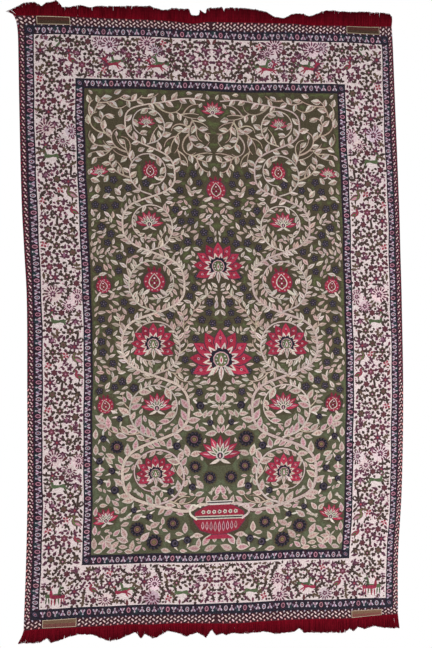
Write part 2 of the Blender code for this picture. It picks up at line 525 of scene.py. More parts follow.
def heron(yarn, wing, size):
    """A standing wading bird with a dark outline, facing left."""
    neck = smooth_path([(-1, 0), (-5, 8), (-1, 15), (-6, 20)], 5)
    parts = [
        (turned(almond(29, 16, 4), -112, -7, 6), "berry"),
        (band(neck, 8.4, 7.0), "berry"),
        (turned(almond(24, 11, 4), -112, -5, 4), yarn),
        (turned(almond(18, 6.5, 4), -118, 0, 3), wing),
        (band(neck, 4.4, 3.4), yarn),
        (turned(almond(10, 3.8, 3), 84, -4, 20), "umber"),
        (turned(almond(14, 3.0, 3), 186, 4, -3), "umber"),
        (turned(almond(14, 3.0, 3), 172, 7, -4), "umber"),
    ]
    return placed(parts, size=size)


# The braid, the guards and the corner bars, in millimetres

BRAID_PITCH = 23.1
SIDE_PITCH = 21.0
GUARD_PITCH_ACROSS = 127.0
GUARD_PITCH_DOWN = 108.5
GUARD_CORNER_ROOM = 12

# Where the patches and petals of a guard lie, as parts of the way from one ring to the next.
PATCH_AT = 0.36
PETALS_AT = 0.31

# Where the runs of the two guards lie, as parts of the way from the guard's outer rim to its inner one.
OUTER_GUARD_LINE = 0.53
INNER_GUARD_LINE = 0.47
BAR_RIM = 1.6
CORNER_BARS = (
    # left, top, right, bottom, yarn of the half next to the guard, yarn of the half next to the fringe
    (57, 1, 164, 26, "bar", "bar_red"),
    (1085, 1, 1199, 25, "bar", "bar_red"),
    (57, 1969, 166, 1998, "bar_gold", "bar_rust"),
    (1083, 1974, 1188, 1999, "bar_gold", "bar_rust"),
)
BRAID_ROWS = (
    # part of the depth from the outer edge, lean, length, width, offset in pitches, yarn
    (0.12, 20, 7.0, 5.2, 0.00, "rosebud"),
    (0.31, 46, 11.0, 5.4, 0.55, "braid_cream"),
    (0.53, -46, 11.0, 5.4, 0.08, "braid_cream"),
    (0.75, 46, 11.0, 5.4, 0.60, "braid_cream"),
    (0.94, -30, 7.5, 4.8, 0.12, "pearl"),
)
SIDE_BRAID_ROWS = (
    # part of the depth from the outer edge, lean, length, width, offset in pitches, upper yarn, lower yarn
    (0.16, -30, 9.5, 4.4, 0.30, "wine", "rosebud"),
    (0.40, 35, 6.4, 4.2, 0.80, "rose", "braid_cream"),
    (0.64, 38, 11.0, 4.8, 0.35, "braid_cream", "braid_cream"),
    (0.84, -30, 6.6, 4.2, 0.85, "mauve", "rosy"),
)

# The side rows take their lower yarn from this height down.
LOWER_YARN_FROM = 1200


def lay_braid(drawing):
    """Plaited rows of short diagonal strokes, mirrored about the middle at the top and bottom."""
    pitch = WIDTH / 2 / round(WIDTH / 2 / BRAID_PITCH)
    for y_edge, inward in ((0, BANDS_Y[1]), (HEIGHT, BANDS_Y[8] - HEIGHT)):
        for part, lean, length, width, offset, yarn in BRAID_ROWS:
            lean = math.copysign(lean, lean * inward)
            stitch = [(stroke(length, width), yarn)]
            for number in range(round(WIDTH / 2 / pitch)):
                x = (number + offset) * pitch
                drawing.stamp(stitch, x, y_edge + inward * part, lean)
                drawing.stamp(stitch, WIDTH - x, y_edge + inward * part, -lean)
    top, bottom = BANDS_Y[1], BANDS_Y[8]
    count = round((bottom - top) / SIDE_PITCH)
    for part, lean, length, width, offset, upper_yarn, lower_yarn in SIDE_BRAID_ROWS:
        for number in range(count):
            y = top + (number + offset) * (bottom - top) / count
            stitch = [(stroke(length, width), upper_yarn if y < LOWER_YARN_FROM else lower_yarn)]
            for x_edge, inward in ((0, DRAWN_X[1]), (WIDTH, DRAWN_X[8] - WIDTH)):
                drawing.stamp(stitch, x_edge + inward * part, y, math.copysign(lean, lean * inward))


def lay_guard_run(drawing, start, end, turn, pitch):
    """Rings, opening petals and beads along one side of a guard. Every other ring stands on its head."""
    length = math.dist(start, end)
    units = 2 * max(1, round(length / pitch))
    step = length / units
    along = Vector((end[0] - start[0], end[1] - start[1])) / length
    for number in range(units):
        middle = (number + 0.5) * step
        head, ring = (turn + 180, ("rosy", "berry")) if number % 2 else (turn, ("pearl", "rose"))

        def at(offset):
            return start[0] + along.x * (middle + offset), start[1] + along.y * (middle + offset)

        drawing.stamp([(disc(13.5, 7, squash=0.7), "guard_plum")], *at(0), head)
        for side in (-1, 1):
            patch = "guard_teal" if (number + side) % 4 == 0 else "guard_plum"
            drawing.stamp([(disc(9.5, 6, 0, -5), patch)], *at(side * step * PATCH_AT), head)
        drawing.stamp(guard_ring(*ring), *at(0), head)
        for side in (-1, 1):
            drawing.stamp(guard_sprig(), *at(side * step * PETALS_AT), head)
        if number < units - 1:
            drawing.stamp(guard_bead(), *at(step * 0.5), turn)


def lay_guard(drawing, outer, inner, part):
    """One guard stripe: its ground, a run along each side, and a ring in each corner."""
    left, top, right, bottom = outer
    in_left, in_top, in_right, in_bottom = inner
    strips = (
        (left, top, right, in_top), (left, in_bottom, right, bottom),
        (left, in_top, in_left, in_bottom), (in_right, in_top, right, in_bottom),
    )
    for strip in strips:
        drawing.lay(rectangle(*strip, GROUND_STEP), "navy", GUARD_GROUND)
    line = [near + (far - near) * part for near, far in zip(outer, inner)]
    corners = ((line[0], line[1]), (line[2], line[1]), (line[2], line[3]), (line[0], line[3]))
    for number, corner in enumerate(corners):
        following = corners[(number + 1) % 4]
        along = Vector((following[0] - corner[0], following[1] - corner[1])).normalized() * GUARD_CORNER_ROOM
        start = (corner[0] + along.x, corner[1] + along.y)
        end = (following[0] - along.x, following[1] - along.y)
        pitch = GUARD_PITCH_DOWN if number % 2 else GUARD_PITCH_ACROSS
        lay_guard_run(drawing, start, end, -90 * number, pitch)
        drawing.stamp(guard_ring("haze", "rose"), *corner, 45, 0.9)


def lay_bars(drawing):
    """The four plain bars woven into the corners of the rim."""
    for left, top, right, bottom, inner_yarn, outer_yarn in CORNER_BARS:
        drawing.lay(rectangle(left - 1.5, top - 1, right + 1.5, bottom + 1), "braid_dark")
        drawing.lay(rectangle(left, top, right, bottom), "bar_rim")
        sides = (left + BAR_RIM, right - BAR_RIM)
        middle = (top + bottom) / 2
        upper, lower = (outer_yarn, inner_yarn) if top < HEIGHT / 2 else (inner_yarn, outer_yarn)
        drawing.lay(rectangle(sides[0], top + BAR_RIM, sides[1], middle), upper)
        drawing.lay(rectangle(sides[0], middle, sides[1], bottom - BAR_RIM), lower)


# The cream border

BORDER_MOTIFS = {
    # name: its outlines, and how far it reaches
    "rosette": (rosette("brown", "umber", "umber", 7, 1.04, 0, "rosy"), 23),
    "maroon": (rosette("maroon_brown", "berry", "plum", 7, 1.0, 20, "rosy"), 22),
    "small": (rosette("plum", "maroon_brown", "umber", 6, 0.9, 40), 19),
    "leafy": (rosette("umber", "brown", "plum", 7, 1.08, 10, "berry"), 23),
    "star": (star(), 14),
    "tulip": (tulip("plum", "mauve"), 14),
    "lily": (tulip("umber", "brown", 1.1), 15),
    "fan": (fan(0.98), 20),
    "bigfan": (fan(1.22), 24),
    "plume": (plume(), 10),
    "sprig": (sprig("berry"), 11),
    "branch": (sprig("umber", 5), 12),
    "blossom": (blossom(), 10),
    "curl": (curl("green"), 13),
    "brown curl": (curl("umber"), 13),
    "gazelle": (gazelle("green", 1.45), 22),
    "pair": (pair_of_gazelles(), 27),
    "deer": (deer_face_to_face(), 32),
    "heron": (heron("moss", "rosy", 1.35), 20),
    "redbird": (heron("brick", "green", 1.1), 17),
}
ANIMALS = ("gazelle", "pair", "heron", "redbird")
BOTTOM_ANIMALS = (
    # along, down from the inner edge, motif
    (50, 100, "deer"),
    (168, 84, "redbird"),
    (276, 90, "pair"),
    (462, 100, "gazelle"),
)

# One length of the side borders. Along runs down the cloth and across runs in from the outer edge.
SIDE_LENGTH = 468.5
SIDE_OVERLAP = 10
SIDE_UNIT = (
    # along, across, motif, turn
    (12, 16, "blossom", 10),
    (16, 56, "rosette", 0),
    (34, 106, "leafy", 20),
    (38, 27, "small", 0),
    (48, 78, "tulip", 0),
    (76, 29, "maroon", 10),
    (74, 62, "small", 30),
    (80, 98, "sprig", -30),
    (104, 84, "rosette", 15),
    (106, 46, "star", 0),
    (122, 114, "small", 0),
    (132, 16, "plume", -70),
    (136, 64, "tulip", 180),
    (154, 38, "bigfan", 40),
    (152, 78, "fan", -10),
    (160, 114, "fan", -80),
    (186, 88, "fan", 150),
    (192, 120, "plume", 180),
    (200, 33, "star", 20),
    (206, 62, "small", 0),
    (226, 106, "tulip", 170),
    (232, 50, "gazelle", 0),
    (254, 20, "small", 0),
    (258, 88, "rosette", 0),
    (262, 54, "maroon", 30),
    (272, 118, "brown curl", 200),
    (288, 24, "tulip", -60),
    (296, 66, "leafy", 190),
    (302, 102, "star", 0),
    (318, 32, "rosette", 0),
    (326, 74, "blossom", 30),
    (340, 104, "heron", 0),
    (350, 52, "sprig", 40),
    (356, 18, "blossom", 0),
    (376, 36, "small", 0),
    (380, 72, "maroon", 0),
    (388, 110, "redbird", 0),
    (404, 22, "star", 0),
    (412, 54, "brown curl", 20),
    (416, 88, "small", 20),
    (434, 114, "lily", 140),
    (438, 30, "leafy", 60),
    (446, 68, "rosette", 0),
)

# Half of the top and bottom borders. Along runs in from the side edge and across runs down the cloth.
END_UNIT = (
    # along, across, motif, turn
    (18, 18, "plume", -40),
    (44, 22, "plume", 30),
    (20, 52, "star", 0),
    (16, 92, "plume", 10),
    (52, 54, "lily", 0),
    (72, 30, "curl", -10),
    (48, 96, "rosette", 0),
    (78, 70, "branch", 20),
    (84, 112, "small", 0),
    (110, 18, "small", 0),
    (112, 52, "star", 0),
    (118, 84, "redbird", 0),
    (140, 28, "rosette", 10),
    (146, 62, "tulip", 60),
    (154, 96, "maroon", 0),
    (128, 122, "sprig", 90),
    (174, 20, "small", 0),
    (184, 56, "rosette", 0),
    (190, 118, "tulip", 90),
    (214, 24, "fan", 30),
    (244, 30, "bigfan", -20),
    (226, 76, "star", 10),
    (262, 88, "pair", 0),
    (224, 112, "blossom", 0),
    (284, 44, "tulip", -120),
    (304, 22, "rosette", 0),
    (306, 62, "maroon", 0),
    (312, 98, "rosette", 0),
    (290, 122, "sprig", -80),
    (338, 38, "small", 20),
    (340, 76, "star", 0),
    (344, 118, "tulip", 80),
    (368, 22, "bigfan", 40),
    (392, 46, "fan", -30),
    (374, 66, "fan", 180),
    (404, 92, "pair", 0),
    (420, 20, "blossom", 0),
    (366, 104, "plume", 90),
    (438, 42, "small", 0),
    (446, 72, "rosette", 10),
    (456, 112, "sprig", 0),
    (466, 20, "lily", 180),
    (480, 50, "maroon", 20),
    (490, 88, "rosette", 0),
    (486, 120, "small", 0),
    (508, 24, "rosette", 0),
    (520, 62, "tulip", 100),
    (528, 104, "plume", 10),
    (548, 34, "tulip", -100),
    (556, 80, "maroon", 0),
)
FILLERS = (
    # motif, length, width, tries for each thousand square millimetres, its yarns
    ("spray", 20.0, 17.0, 60, ("umber", "plum", "brown", "umber")),
    ("leaf", 27.0, 10.4, 130, ("umber", "plum", "brown", "maroon_brown", "umber")),
    ("leaf", 19.5, 9.0, 180, ("umber", "plum", "umber", "berry", "brown")),
    ("drop", 11.5, 7.4, 200, ("plum", "umber", "berry", "brown")),
    ("drop", 6.6, 5.2, 320, ("rosy", "mauve", "mauve", "berry", "brown")),
)

# How near another motif may come, as part of the filler's width or of the motif's reach.
CLOSENESS = 0.33
TOP_CLOSENESS = 0.24
MOTIF_ROOM = 0.55


def filler(kind, length, width, yarn):
    """A three-leaved spray, a single leaf or a drop."""
    if kind == "spray":
        leaves = spread(almond(15.5, 8.8, 3), (-62, 0, 62), yarn, 0, -6)
        return leaves + spread(almond(8, 3.4, 3), (180,), yarn, 0, -4)
    if kind == "leaf":
        return [(almond(length, width, 3, -length / 2), yarn)]
    return [(disc(length / 2, 5, squash=width / length), yarn)]


def lay_border_motif(drawing, x, y, name, turn):
    """Lays a motif of the border and keeps its place."""
    parts, reach = BORDER_MOTIFS[name]
    drawing.stamp(parts, x, y, turn)
    drawing.take(x, y, reach)


def has_motif_room(drawing, x, y, name):
    """Whether a motif fits among those that are laid."""
    return drawing.is_free(x, y, BORDER_MOTIFS[name][1] * MOTIF_ROOM)


def fill_gaps(drawing, left, top, right, bottom, closeness):
    """Leaves in what is left of a border, the largest first."""
    rng = drawing.random
    for kind, length, width, share, yarns in FILLERS:
        margin = width / 2 + 3.5
        clear = width * closeness
        for _ in range(int(share * (right - left) * (bottom - top) / 1000)):
            x = rng.uniform(left + margin, right - margin)
            y = rng.uniform(top + margin, bottom - margin)
            if not drawing.is_free(x, y, clear):
                continue
            turn = math.radians(rng.uniform(0, 360))
            reach = (length - width) / 2
            reaches = (-reach, 0, reach)
            spots = [(x - math.sin(turn) * along, y - math.cos(turn) * along) for along in reaches]
            if all(drawing.is_free(*spot, clear) for spot in spots):
                drawing.stamp(filler(kind, length, width, rng.choice(yarns)), x, y, math.degrees(turn))
                for spot in spots:
                    drawing.take(*spot, width * 0.5)


def lay_border(drawing):
    """The left half of the cream border: two ends and one side."""
    outer_x, inner_x = DRAWN_X[2], DRAWN_X[3]
    top_outer, top_inner = BANDS_Y[2], BANDS_Y[3]
    bottom_inner, bottom_outer = BANDS_Y[6], BANDS_Y[7]
    for along, across, name, turn in END_UNIT:
        lay_border_motif(drawing, outer_x + along, top_outer + across, name, turn)
    for along, across, name in BOTTOM_ANIMALS:
        lay_border_motif(drawing, outer_x + along, bottom_inner + across, name, 0)
    for along, across, name, turn in END_UNIT:
        x, y = outer_x + along, bottom_outer - across
        if name not in ANIMALS and has_motif_room(drawing, x, y, name):
            lay_border_motif(drawing, x, y, name, 180 - turn)
    side_top, side_bottom = top_inner - SIDE_OVERLAP, bottom_inner + SIDE_OVERLAP
    lengths = round((side_bottom - side_top) / SIDE_LENGTH)
    stretch = (side_bottom - side_top) / (lengths * SIDE_LENGTH)
    for length in range(lengths):
        for along, across, name, turn in SIDE_UNIT:
            y = side_top + (length * SIDE_LENGTH + along) * stretch
            x = outer_x + across
            if has_motif_room(drawing, x, y, name):
                lay_border_motif(drawing, x, y, name, turn)
    fill_gaps(drawing, outer_x, top_outer, CENTRE_X, top_inner, TOP_CLOSENESS)
    fill_gaps(drawing, outer_x, bottom_inner, CENTRE_X, bottom_outer, CLOSENESS)
    fill_gaps(drawing, outer_x, top_inner, inner_x, bottom_inner, CLOSENESS)


# The field

FIELD_LEFT = DRAWN_X[4]
FIELD_TOP, FIELD_BOTTOM = BANDS_Y[4], BANDS_Y[5]

# The field's leaves change at these two heights.
UPPER_END = 560
MIDDLE_END = 1240
LOW_FLOWERS_TOP = MIDDLE_END + 10
LOW_FLOWERS_BOTTOM = FIELD_BOTTOM - 30


def broad_leaf(rng, size):
    """A heart-shaped leaf of the upper field."""
    length = rng.uniform(25, 34) * size
    width = length * rng.uniform(0.52, 0.64)
    lean = rng.uniform(-4, 4)
    hand = rng.choice((-1, 1))
    side = [(x * hand, y) for x, y in half_almond(length * 0.92, width * 0.9, length * 0.04, lean * hand)]
    leaf = [(almond(length, width, 4, 0, lean), "ivory"), (side, "leaf_side")]
    leaf.append((almond(length * 0.42, width * 0.24, 3, length * 0.06), "rose_grey"))
    return leaf, length


def slender_leaf(rng, size):
    """A narrow leaf of the middle field, with a darker side or spine."""
    length = rng.uniform(21, 30) * size
    width = length * rng.uniform(0.38, 0.48)
    lean = rng.uniform(-5, 5)
    leaf = [(almond(length, width, 4, 0, lean), rng.choice(("salmon", "ivory", "bark")))]
    if rng.random() < 0.5:
        leaf.append((half_almond(length * 0.86, width * 0.76, length * 0.06, lean * 0.7), "leaf_side"))
    else:
        leaf.append((almond(length * 0.62, width * 0.22, 3, length * 0.12, lean * 0.4), "rose_grey"))
    return leaf, length


def veined_leaf(rng, length):
    """A large leaf of the lower field: pale rim, rosy inside, dark spine and side veins."""
    inside = rng.choice(("salmon", "pink", "salmon"))
    width = length * 0.50
    parts = [
        (almond(length, width, 5), "bark"),
        (almond(length * 0.80, width * 0.66, 4, length * 0.09), inside),
        (almond(length * 0.86, length * 0.05, 3, length * 0.02), "rose_grey"),
    ]
    for part in (0.28, 0.50):
        for side in (-1, 1):
            vein = almond(width * 0.36, length * 0.05, 3)
            parts.append((turned(vein, -52 * side, 0, length * part), "rose_grey"))
    return parts


def leaf_cluster(rng):
    """Five veined leaves that spread from one short stem."""
    size = rng.uniform(0.85, 1.1)
    parts = [(almond(24, 4.6, 3, -24), "bark")]
    for turn, length in ((-106, 25), (106, 25), (-54, 30), (54, 30), (0, 34)):
        parts += placed(veined_leaf(rng, length), turn)
    return placed(parts, size=size)


def round_blossom(rng):
    """A small dark blossom of the middle field."""
    radius = rng.uniform(12, 14)
    turn = rng.uniform(0, 1)
    parts = [(disc(radius + 3, 8), "shade"), (scallop(radius, 5, 0.26, turn=turn), "ink")]
    for number in range(5):
        angle = math.radians(72 * number) + turn + math.pi / 5
        reach = radius * 0.58
        petal = disc(radius * 0.27, 5, reach * math.cos(angle), reach * math.sin(angle))
        parts.append((petal, "navy_light"))
    return parts + [(disc(radius * 0.2, 4), "haze")]


def daisy(rng):
    """A large dark daisy of the lower field with a brown eye."""
    radius = rng.uniform(19, 27)
    petal = almond(radius * 0.24, radius * 0.12, 3, radius * 0.66)
    parts = [(disc(radius + 4, 12), "shade"), (scallop(radius, 11, 0.16), "navy")]
    parts.append((disc(radius * 0.74, 11), "ink"))
    parts += spread(petal, [number * 360 / 11 for number in range(11)], "navy_light")
    return parts + [
        (disc(radius * 0.47, 10), "mauve"),
        (disc(radius * 0.41, 10), "brown"),
        (disc(radius * 0.22, 6), "gold"),
        (disc(radius * 0.09, 4), "umber"),
    ]


def bud(rng):
    """A round dark bud held by three curved pale sepals."""
    radius = rng.uniform(10, 14)
    sepals = []
    for turn, lean in ((-58, -9), (58, 9), (180, 5)):
        sepals.append((turned(almond(25, 7.0, 4, 4, lean), turn, 0, -4), "ivory"))
    return [(disc(radius + 4, 9), "shade")] + sepals + [
        (disc(radius, 10), "navy"),
        (disc(radius * 0.68, 8, 0, 1.5), "navy_light"),
        (disc(radius * 0.42, 6, 0, 2), "ink"),
    ]


def grass(rng):
    """A pale sprig of curved blades."""
    size = rng.uniform(0.8, 1.15)
    parts = []
    for turn, length, lean in ((-46, 24, -6), (-20, 33, -4), (14, 30, 3), (44, 22, 6)):
        parts.append((turned(almond(length, 5.2, 4, -10, lean), turn, size=size), "bark"))
    return parts


def petal_arc(count, sweep, petal, yarn):
    """Petals in an arc of so many degrees about the upright."""
    step = sweep / (count - 1)
    return spread(petal, [-sweep / 2 + step * number for number in range(count)], yarn)


def palmette(size):
    """A large crimson palmette on a pale collar, with a navy heart and a green seed cone."""
    parts = [(scallop(72, 11, 0.12, 0, 10), "shade")]
    for number in (0, 8, 1, 7, 2, 6, 3, 5, 4):
        turn = -116 + 29 * number
        parts.append((turned(almond(54, 34, 5, 17), turn), "plum"))
        parts.append((turned(almond(50, 28, 5, 19), turn), "crimson" if number % 2 else "scarlet"))
        parts.append((turned(almond(30, 4.0, 3, 34), turn), "wine"))
    for number in range(9):
        turn = math.radians(-116 + 29 * number)
        x, y = -50 * math.sin(turn), 50 * math.cos(turn)
        parts += [(disc(3.4, 6, x, y), "pink"), (disc(1.7, 4, x, y), "navy")]
    parts += petal_arc(10, 252, almond(29, 12, 4, 12), "ivory")
    parts += petal_arc(10, 252, almond(17, 5, 3, 16), "wine")
    parts += [
        (scallop(26, 9, 0.14, 0, 2), "navy"),
        (disc(18, 11, 0, 2), "pink"),
        (disc(15.5, 11, 0, 2), "green"),
        (almond(34, 17, 5, -16), "moss"),
        (almond(20, 8, 4, -9), "cream"),
        (almond(12, 4, 3, -5), "crimson"),
    ]
    for turn in (0.9, 1.6, 2.3, 4.0, 4.7, 5.4):
        parts.append((disc(2.0, 5, 11 * math.sin(turn), 2 + 11 * math.cos(turn)), "cream"))
    for turn, lean in ((-150, -8), (150, 8), (180, 0)):
        parts.append((turned(almond(34, 12, 4, 12, lean), turn), "ivory"))
    return placed(parts + spread(almond(24, 3.4, 3, 16), (-152, 152, 180), "rose_grey"), size=size)


def carnation(size):
    """A serrated crimson fan on a pale cup."""
    halo = [(-30, -24), (-52, 4), (-54, 30), (-28, 58), (0, 64), (28, 58), (54, 30), (52, 4), (30, -24)]
    parts = [(halo, "shade")]
    for number in (0, 6, 1, 5, 2, 4, 3):
        turn = -81 + 27 * number
        parts.append((turned(almond(54, 24, 4, 2), turn), "plum"))
        parts.append((turned(almond(51, 19, 4, 3), turn), "crimson" if number % 2 else "scarlet"))
        parts.append((turned(almond(22, 3.6, 3, 24), turn), "pink"))
    parts += petal_arc(6, 134, almond(32, 10, 3, 4), "ivory")
    parts += petal_arc(6, 134, almond(20, 4.4, 3, 8), "green")
    parts += [
        (drop(26, 23, -12), "ivory"),
        (drop(19, 15, -9), "navy"),
        (almond(13, 6, 3, -5), "pink"),
        (turned(almond(30, 9, 4, 0, 6), 128, 0, -6), "ivory"),
        (turned(almond(30, 9, 4, 0, -6), -128, 0, -6), "ivory"),
    ]
    return placed(parts, size=size)


def pomegranate(size):
    """A round crimson fruit with a crown, cut open on its seeds."""
    parts = [(disc(39, 12, 0, 6), "shade")]
    parts += spread(almond(22, 10, 3, 24), (-24, 0, 24), "wine", 0, 4)
    parts += [(disc(32, 14, 0, 4), "plum"), (disc(29.5, 14, 0, 4), "crimson")]
    for number in range(10):
        turn = math.radians(36 * number + 18)
        parts.append((disc(2.6, 5, 24.5 * math.sin(turn), 4 + 24.5 * math.cos(turn)), "pink"))
    parts += [(almond(46, 34, 5, -18), "ivory"), (almond(40, 27, 5, -15), "wine")]
    for x, y in ((0, 14), (-6, 7), (6, 7), (0, 0), (-6, -6), (6, -6)):
        parts.append((disc(2.7, 5, x, y), "cream" if x == 0 else "moss"))
    for turn, lean in ((-140, -7), (140, 7)):
        parts.append((turned(almond(30, 10, 4, 22, lean), turn), "ivory"))
    return placed(parts, size=size)


def urn():
    """A low footed urn with a gadrooned body."""
    left_side = [(-20, 0), (-62, 14), (-84, 44), (-80, 74), (-50, 92), (-26, 100)]
    body = left_side + [(-x, y) for x, y in reversed(left_side)]
    halo = [(-60, -20), (-96, 20), (-104, 80), (-62, 116), (62, 116), (104, 80), (96, 20), (60, -20)]
    parts = [
        (halo, "shade"),
        ([(-48, -16), (-30, -4), (-18, 2), (18, 2), (30, -4), (48, -16)], "scarlet"),
        (turned(body, size=1.04, y=-2), "plum"),
        (body, "crimson"),
        ([(-34, 98), (-46, 112), (46, 112), (34, 98)], "ivory"),
        ([(-41, 104), (-43, 108), (43, 108), (41, 104)], "navy"),
        ([(-79, 62), (-83, 50), (83, 50), (79, 62)], "ivory"),
        ([(-80, 58), (-82, 54), (82, 54), (80, 58)], "navy"),
    ]
    for number in range(9):
        x = -64 + 16 * number
        parts.append((turned(almond(38 - abs(x) * 0.16, 10, 4), 0, x * 0.86, 6 + abs(x) * 0.16), "pink"))
        parts.append((turned(almond(28 - abs(x) * 0.12, 5, 3), 0, x * 0.86, 10 + abs(x) * 0.17), "wine"))
    for x in range(-54, 55, 18):
        parts += [(scallop(7, 5, 0.25, x, 75), "ivory"), (disc(3.2, 5, x, 75), "green")]
    for side in (-1, 1):
        handle = smooth_path([(side * 74, 50), (side * 98, 70), (side * 92, 98), (side * 62, 92)], 10)
        parts.append((band(handle, 7, 6), "ivory"))
    return parts


# The vines. Each half has one main vine that winds upwards round a column of scrolls.
VINE_STEP = 9.0
URN_Y = 1700
SCROLLS = (
    # x, y, radius, side on which the main vine passes, flower, flower's size
    (412, 1500, 104, -1, "palmette", 0.92),
    (416, 1282, 100, 1, "carnation", 0.98),
    (404, 1070, 98, -1, "palmette", 1.04),
    (414, 866, 94, 1, "pomegranate", 1.16),
    (404, 674, 84, -1, "carnation", 0.86),
    (414, 500, 76, 1, "pomegranate", 0.78),
    (406, 344, 66, -1, "carnation", 0.56),
)
CENTRE_FLOWERS = (
    # y, motif, size
    (302, "carnation", 0.72),
    (560, "pomegranate", 1.05),
    (810, "palmette", 1.18),
    (1120, "palmette", 1.5),
    (1440, "carnation", 1.3),
)
SIDE_FLOWERS = (
    # x, y, motif, size, turn
    (252, 1652, "carnation", 0.8, 18),
    (250, 1275, "pomegranate", 0.86, 14),
    (248, 880, "pomegranate", 0.8, 10),
    (250, 508, "carnation", 0.56, 8),
)
FLOWERS = {"palmette": (palmette, 54), "carnation": (carnation, 45), "pomegranate": (pomegranate, 38)}
VINE_FOOT = ((598, 1606), (560, 1600), (500, 1622))
VINE_HEAD = ((470, 268), (540, 256), (600, 262))
FOOT_WIDTH = 10.5
HEAD_WIDTH = 4.0
SCROLL_WIDTH = 7.2
SCROLL_THINNING = 0.5
SCROLL_END_WIDTH = 3.0


def take_flower(drawing, x, y, name, size):
    """Keeps a flower's place free. Its middle lies a little above its foot."""
    drawing.take(x, y - 10 * size, FLOWERS[name][1] * size)


def lay_flower(drawing, x, y, name, size, turn=0):
    """Lays a large flower over the leaves and keeps its place."""
    drawing.stamp(FLOWERS[name][0](size), x, y, turn, level=FLOWER)
    take_flower(drawing, x, y, name, size)


def lay_vine(drawing, points, start_width, end_width, yarn="bark"):
    """A vine with a dark edge, which also keeps its place free of leaves. Returns its path."""
    path = smooth_path(points, VINE_STEP)
    drawing.lay(band(path, start_width + 6, end_width + 5), "vine_edge")
    drawing.lay(band(path, start_width, end_width), yarn)
    for number, point in enumerate(path):
        part = number / (len(path) - 1)
        drawing.take(point.x, point.y, (start_width + (end_width - start_width) * part) / 2)
    return path


def scroll_points(x, y, radius, side):
    """A side vine that curls inwards from the foot of a scroll, away from the main vine's side."""
    points = []
    for step in range(11):
        angle = math.radians(90 + 36 * step * side)
        reach = radius * (1.0 - 0.045 * step)
        points.append((x + reach * math.cos(angle), y + reach * math.sin(angle)))
    return points


def lay_main_vine(drawing):
    """The main vine and its scrolls. Returns all their paths."""
    points = list(VINE_FOOT)
    for x, y, radius, side, _name, _size in SCROLLS:
        for aside, below in ((0.72, 0.74), (1.04, 0), (0.72, -0.74)):
            points.append((x + side * radius * aside, y + radius * below))
    points += VINE_HEAD
    paths = [lay_vine(drawing, points, FOOT_WIDTH, HEAD_WIDTH)]
    for number, (x, y, radius, side, _name, _size) in enumerate(SCROLLS):
        width = SCROLL_WIDTH - SCROLL_THINNING * number
        paths.append(lay_vine(drawing, scroll_points(x, y, radius, side), width, SCROLL_END_WIDTH))
    return paths


SHOOT_TRIES = 2600
SHOOT_MARGIN = 12


def in_half_field(x, y, margin, centre_margin):
    """Whether a place lies in the field's left half, that far from its edges and from the middle line."""
    return (FIELD_LEFT + margin < x < CENTRE_X - centre_margin
            and FIELD_TOP + margin < y < FIELD_BOTTOM - margin)


def grow_shoots(drawing, paths):
    """Curling side shoots wherever they find room."""
    rng = drawing.random
    for _ in range(SHOOT_TRIES):
        path = rng.choice(paths)
        number = rng.randrange(1, len(path) - 1)
        along = path[number + 1] - path[number - 1]
        hand = rng.choice((-1, 1))
        angle = math.atan2(along.y, along.x) + hand * math.radians(rng.uniform(35, 60))
        place = path[number].copy()
        stride = rng.uniform(13, 19)
        bend = -hand * math.radians(rng.uniform(4, 18))
        points = [place.copy()]
        for step in range(8):
            place += stride * Vector((math.cos(angle), math.sin(angle)))
            angle += bend * (1 + 0.35 * step)
            clear = 11 if step else 3
            if not in_half_field(*place, SHOOT_MARGIN, 3) or not drawing.is_free(*place, clear):
                break
            points.append(place.copy())
        if len(points) > 4:
            width = 2.6 + 0.4 * len(points)
            paths.append(lay_vine(drawing, points, width, 1.8, "twig"))


# Leaves and small flowers of the three parts of the field


def leaf_for(y, rng, size):
    """A leaf's parts, length and room for a height in the field. Room is a part of its length."""
    height = y + rng.uniform(-60, 60)
    if height < UPPER_END:
        return *broad_leaf(rng, size), 0.60
    if height < MIDDLE_END:
        return *slender_leaf(rng, size), 0.29
    length = rng.uniform(30, 47) * size
    return veined_leaf(rng, length), length, 0.31


# Part of a leaf's length that has to be free round it, and where along it this is tested.
LEAF_TEST = 0.15
LEAF_SPOTS = (
    # part of the way to the tip, share of the leaf's room there
    (0.42, 1.0),
    (0.72, 0.8),
    (0.95, 0.3),
)


def try_leaf(drawing, x, y, turn, size=1.0):
    """Lays a leaf with its foot at a place if nothing is in its way."""
    parts, length, room = leaf_for(y, drawing.random, size)
    ahead_x = -math.sin(math.radians(turn)) * length
    ahead_y = -math.cos(math.radians(turn)) * length
    if not in_half_field(x + ahead_x, y + ahead_y, 5, 1):
        return
    for part, share in LEAF_SPOTS:
        if not drawing.is_free(x + ahead_x * part, y + ahead_y * part, length * LEAF_TEST * share):
            return
    drawing.stamp(parts, x, y, turn)
    for part, share in LEAF_SPOTS:
        drawing.take(x + ahead_x * part, y + ahead_y * part, length * room * share)


def leaf_along(drawing, paths):
    """Leaves in turn on both sides of each vine."""
    rng = drawing.random
    for path in paths:
        for number in range(1, len(path) - 1):
            along = path[number + 1] - path[number - 1]
            heading = math.degrees(math.atan2(-along.x, -along.y))
            for hand in (-1, 1):
                try_leaf(drawing, *path[number], heading + hand * rng.uniform(38, 66))
        end = path[-1] - path[-3]
        try_leaf(drawing, *path[-1], math.degrees(math.atan2(-end.x, -end.y)))


def scatter_leaves(drawing, tries, size, top=FIELD_TOP):
    """Single leaves in what is left of the field's left half."""
    rng = drawing.random
    for _ in range(tries):
        x = rng.uniform(FIELD_LEFT + 6, CENTRE_X - 4)
        y = rng.uniform(top + 8, FIELD_BOTTOM - 8)
        if drawing.is_free(x, y, 2.5):
            try_leaf(drawing, x, y, rng.uniform(-110, 110), size)


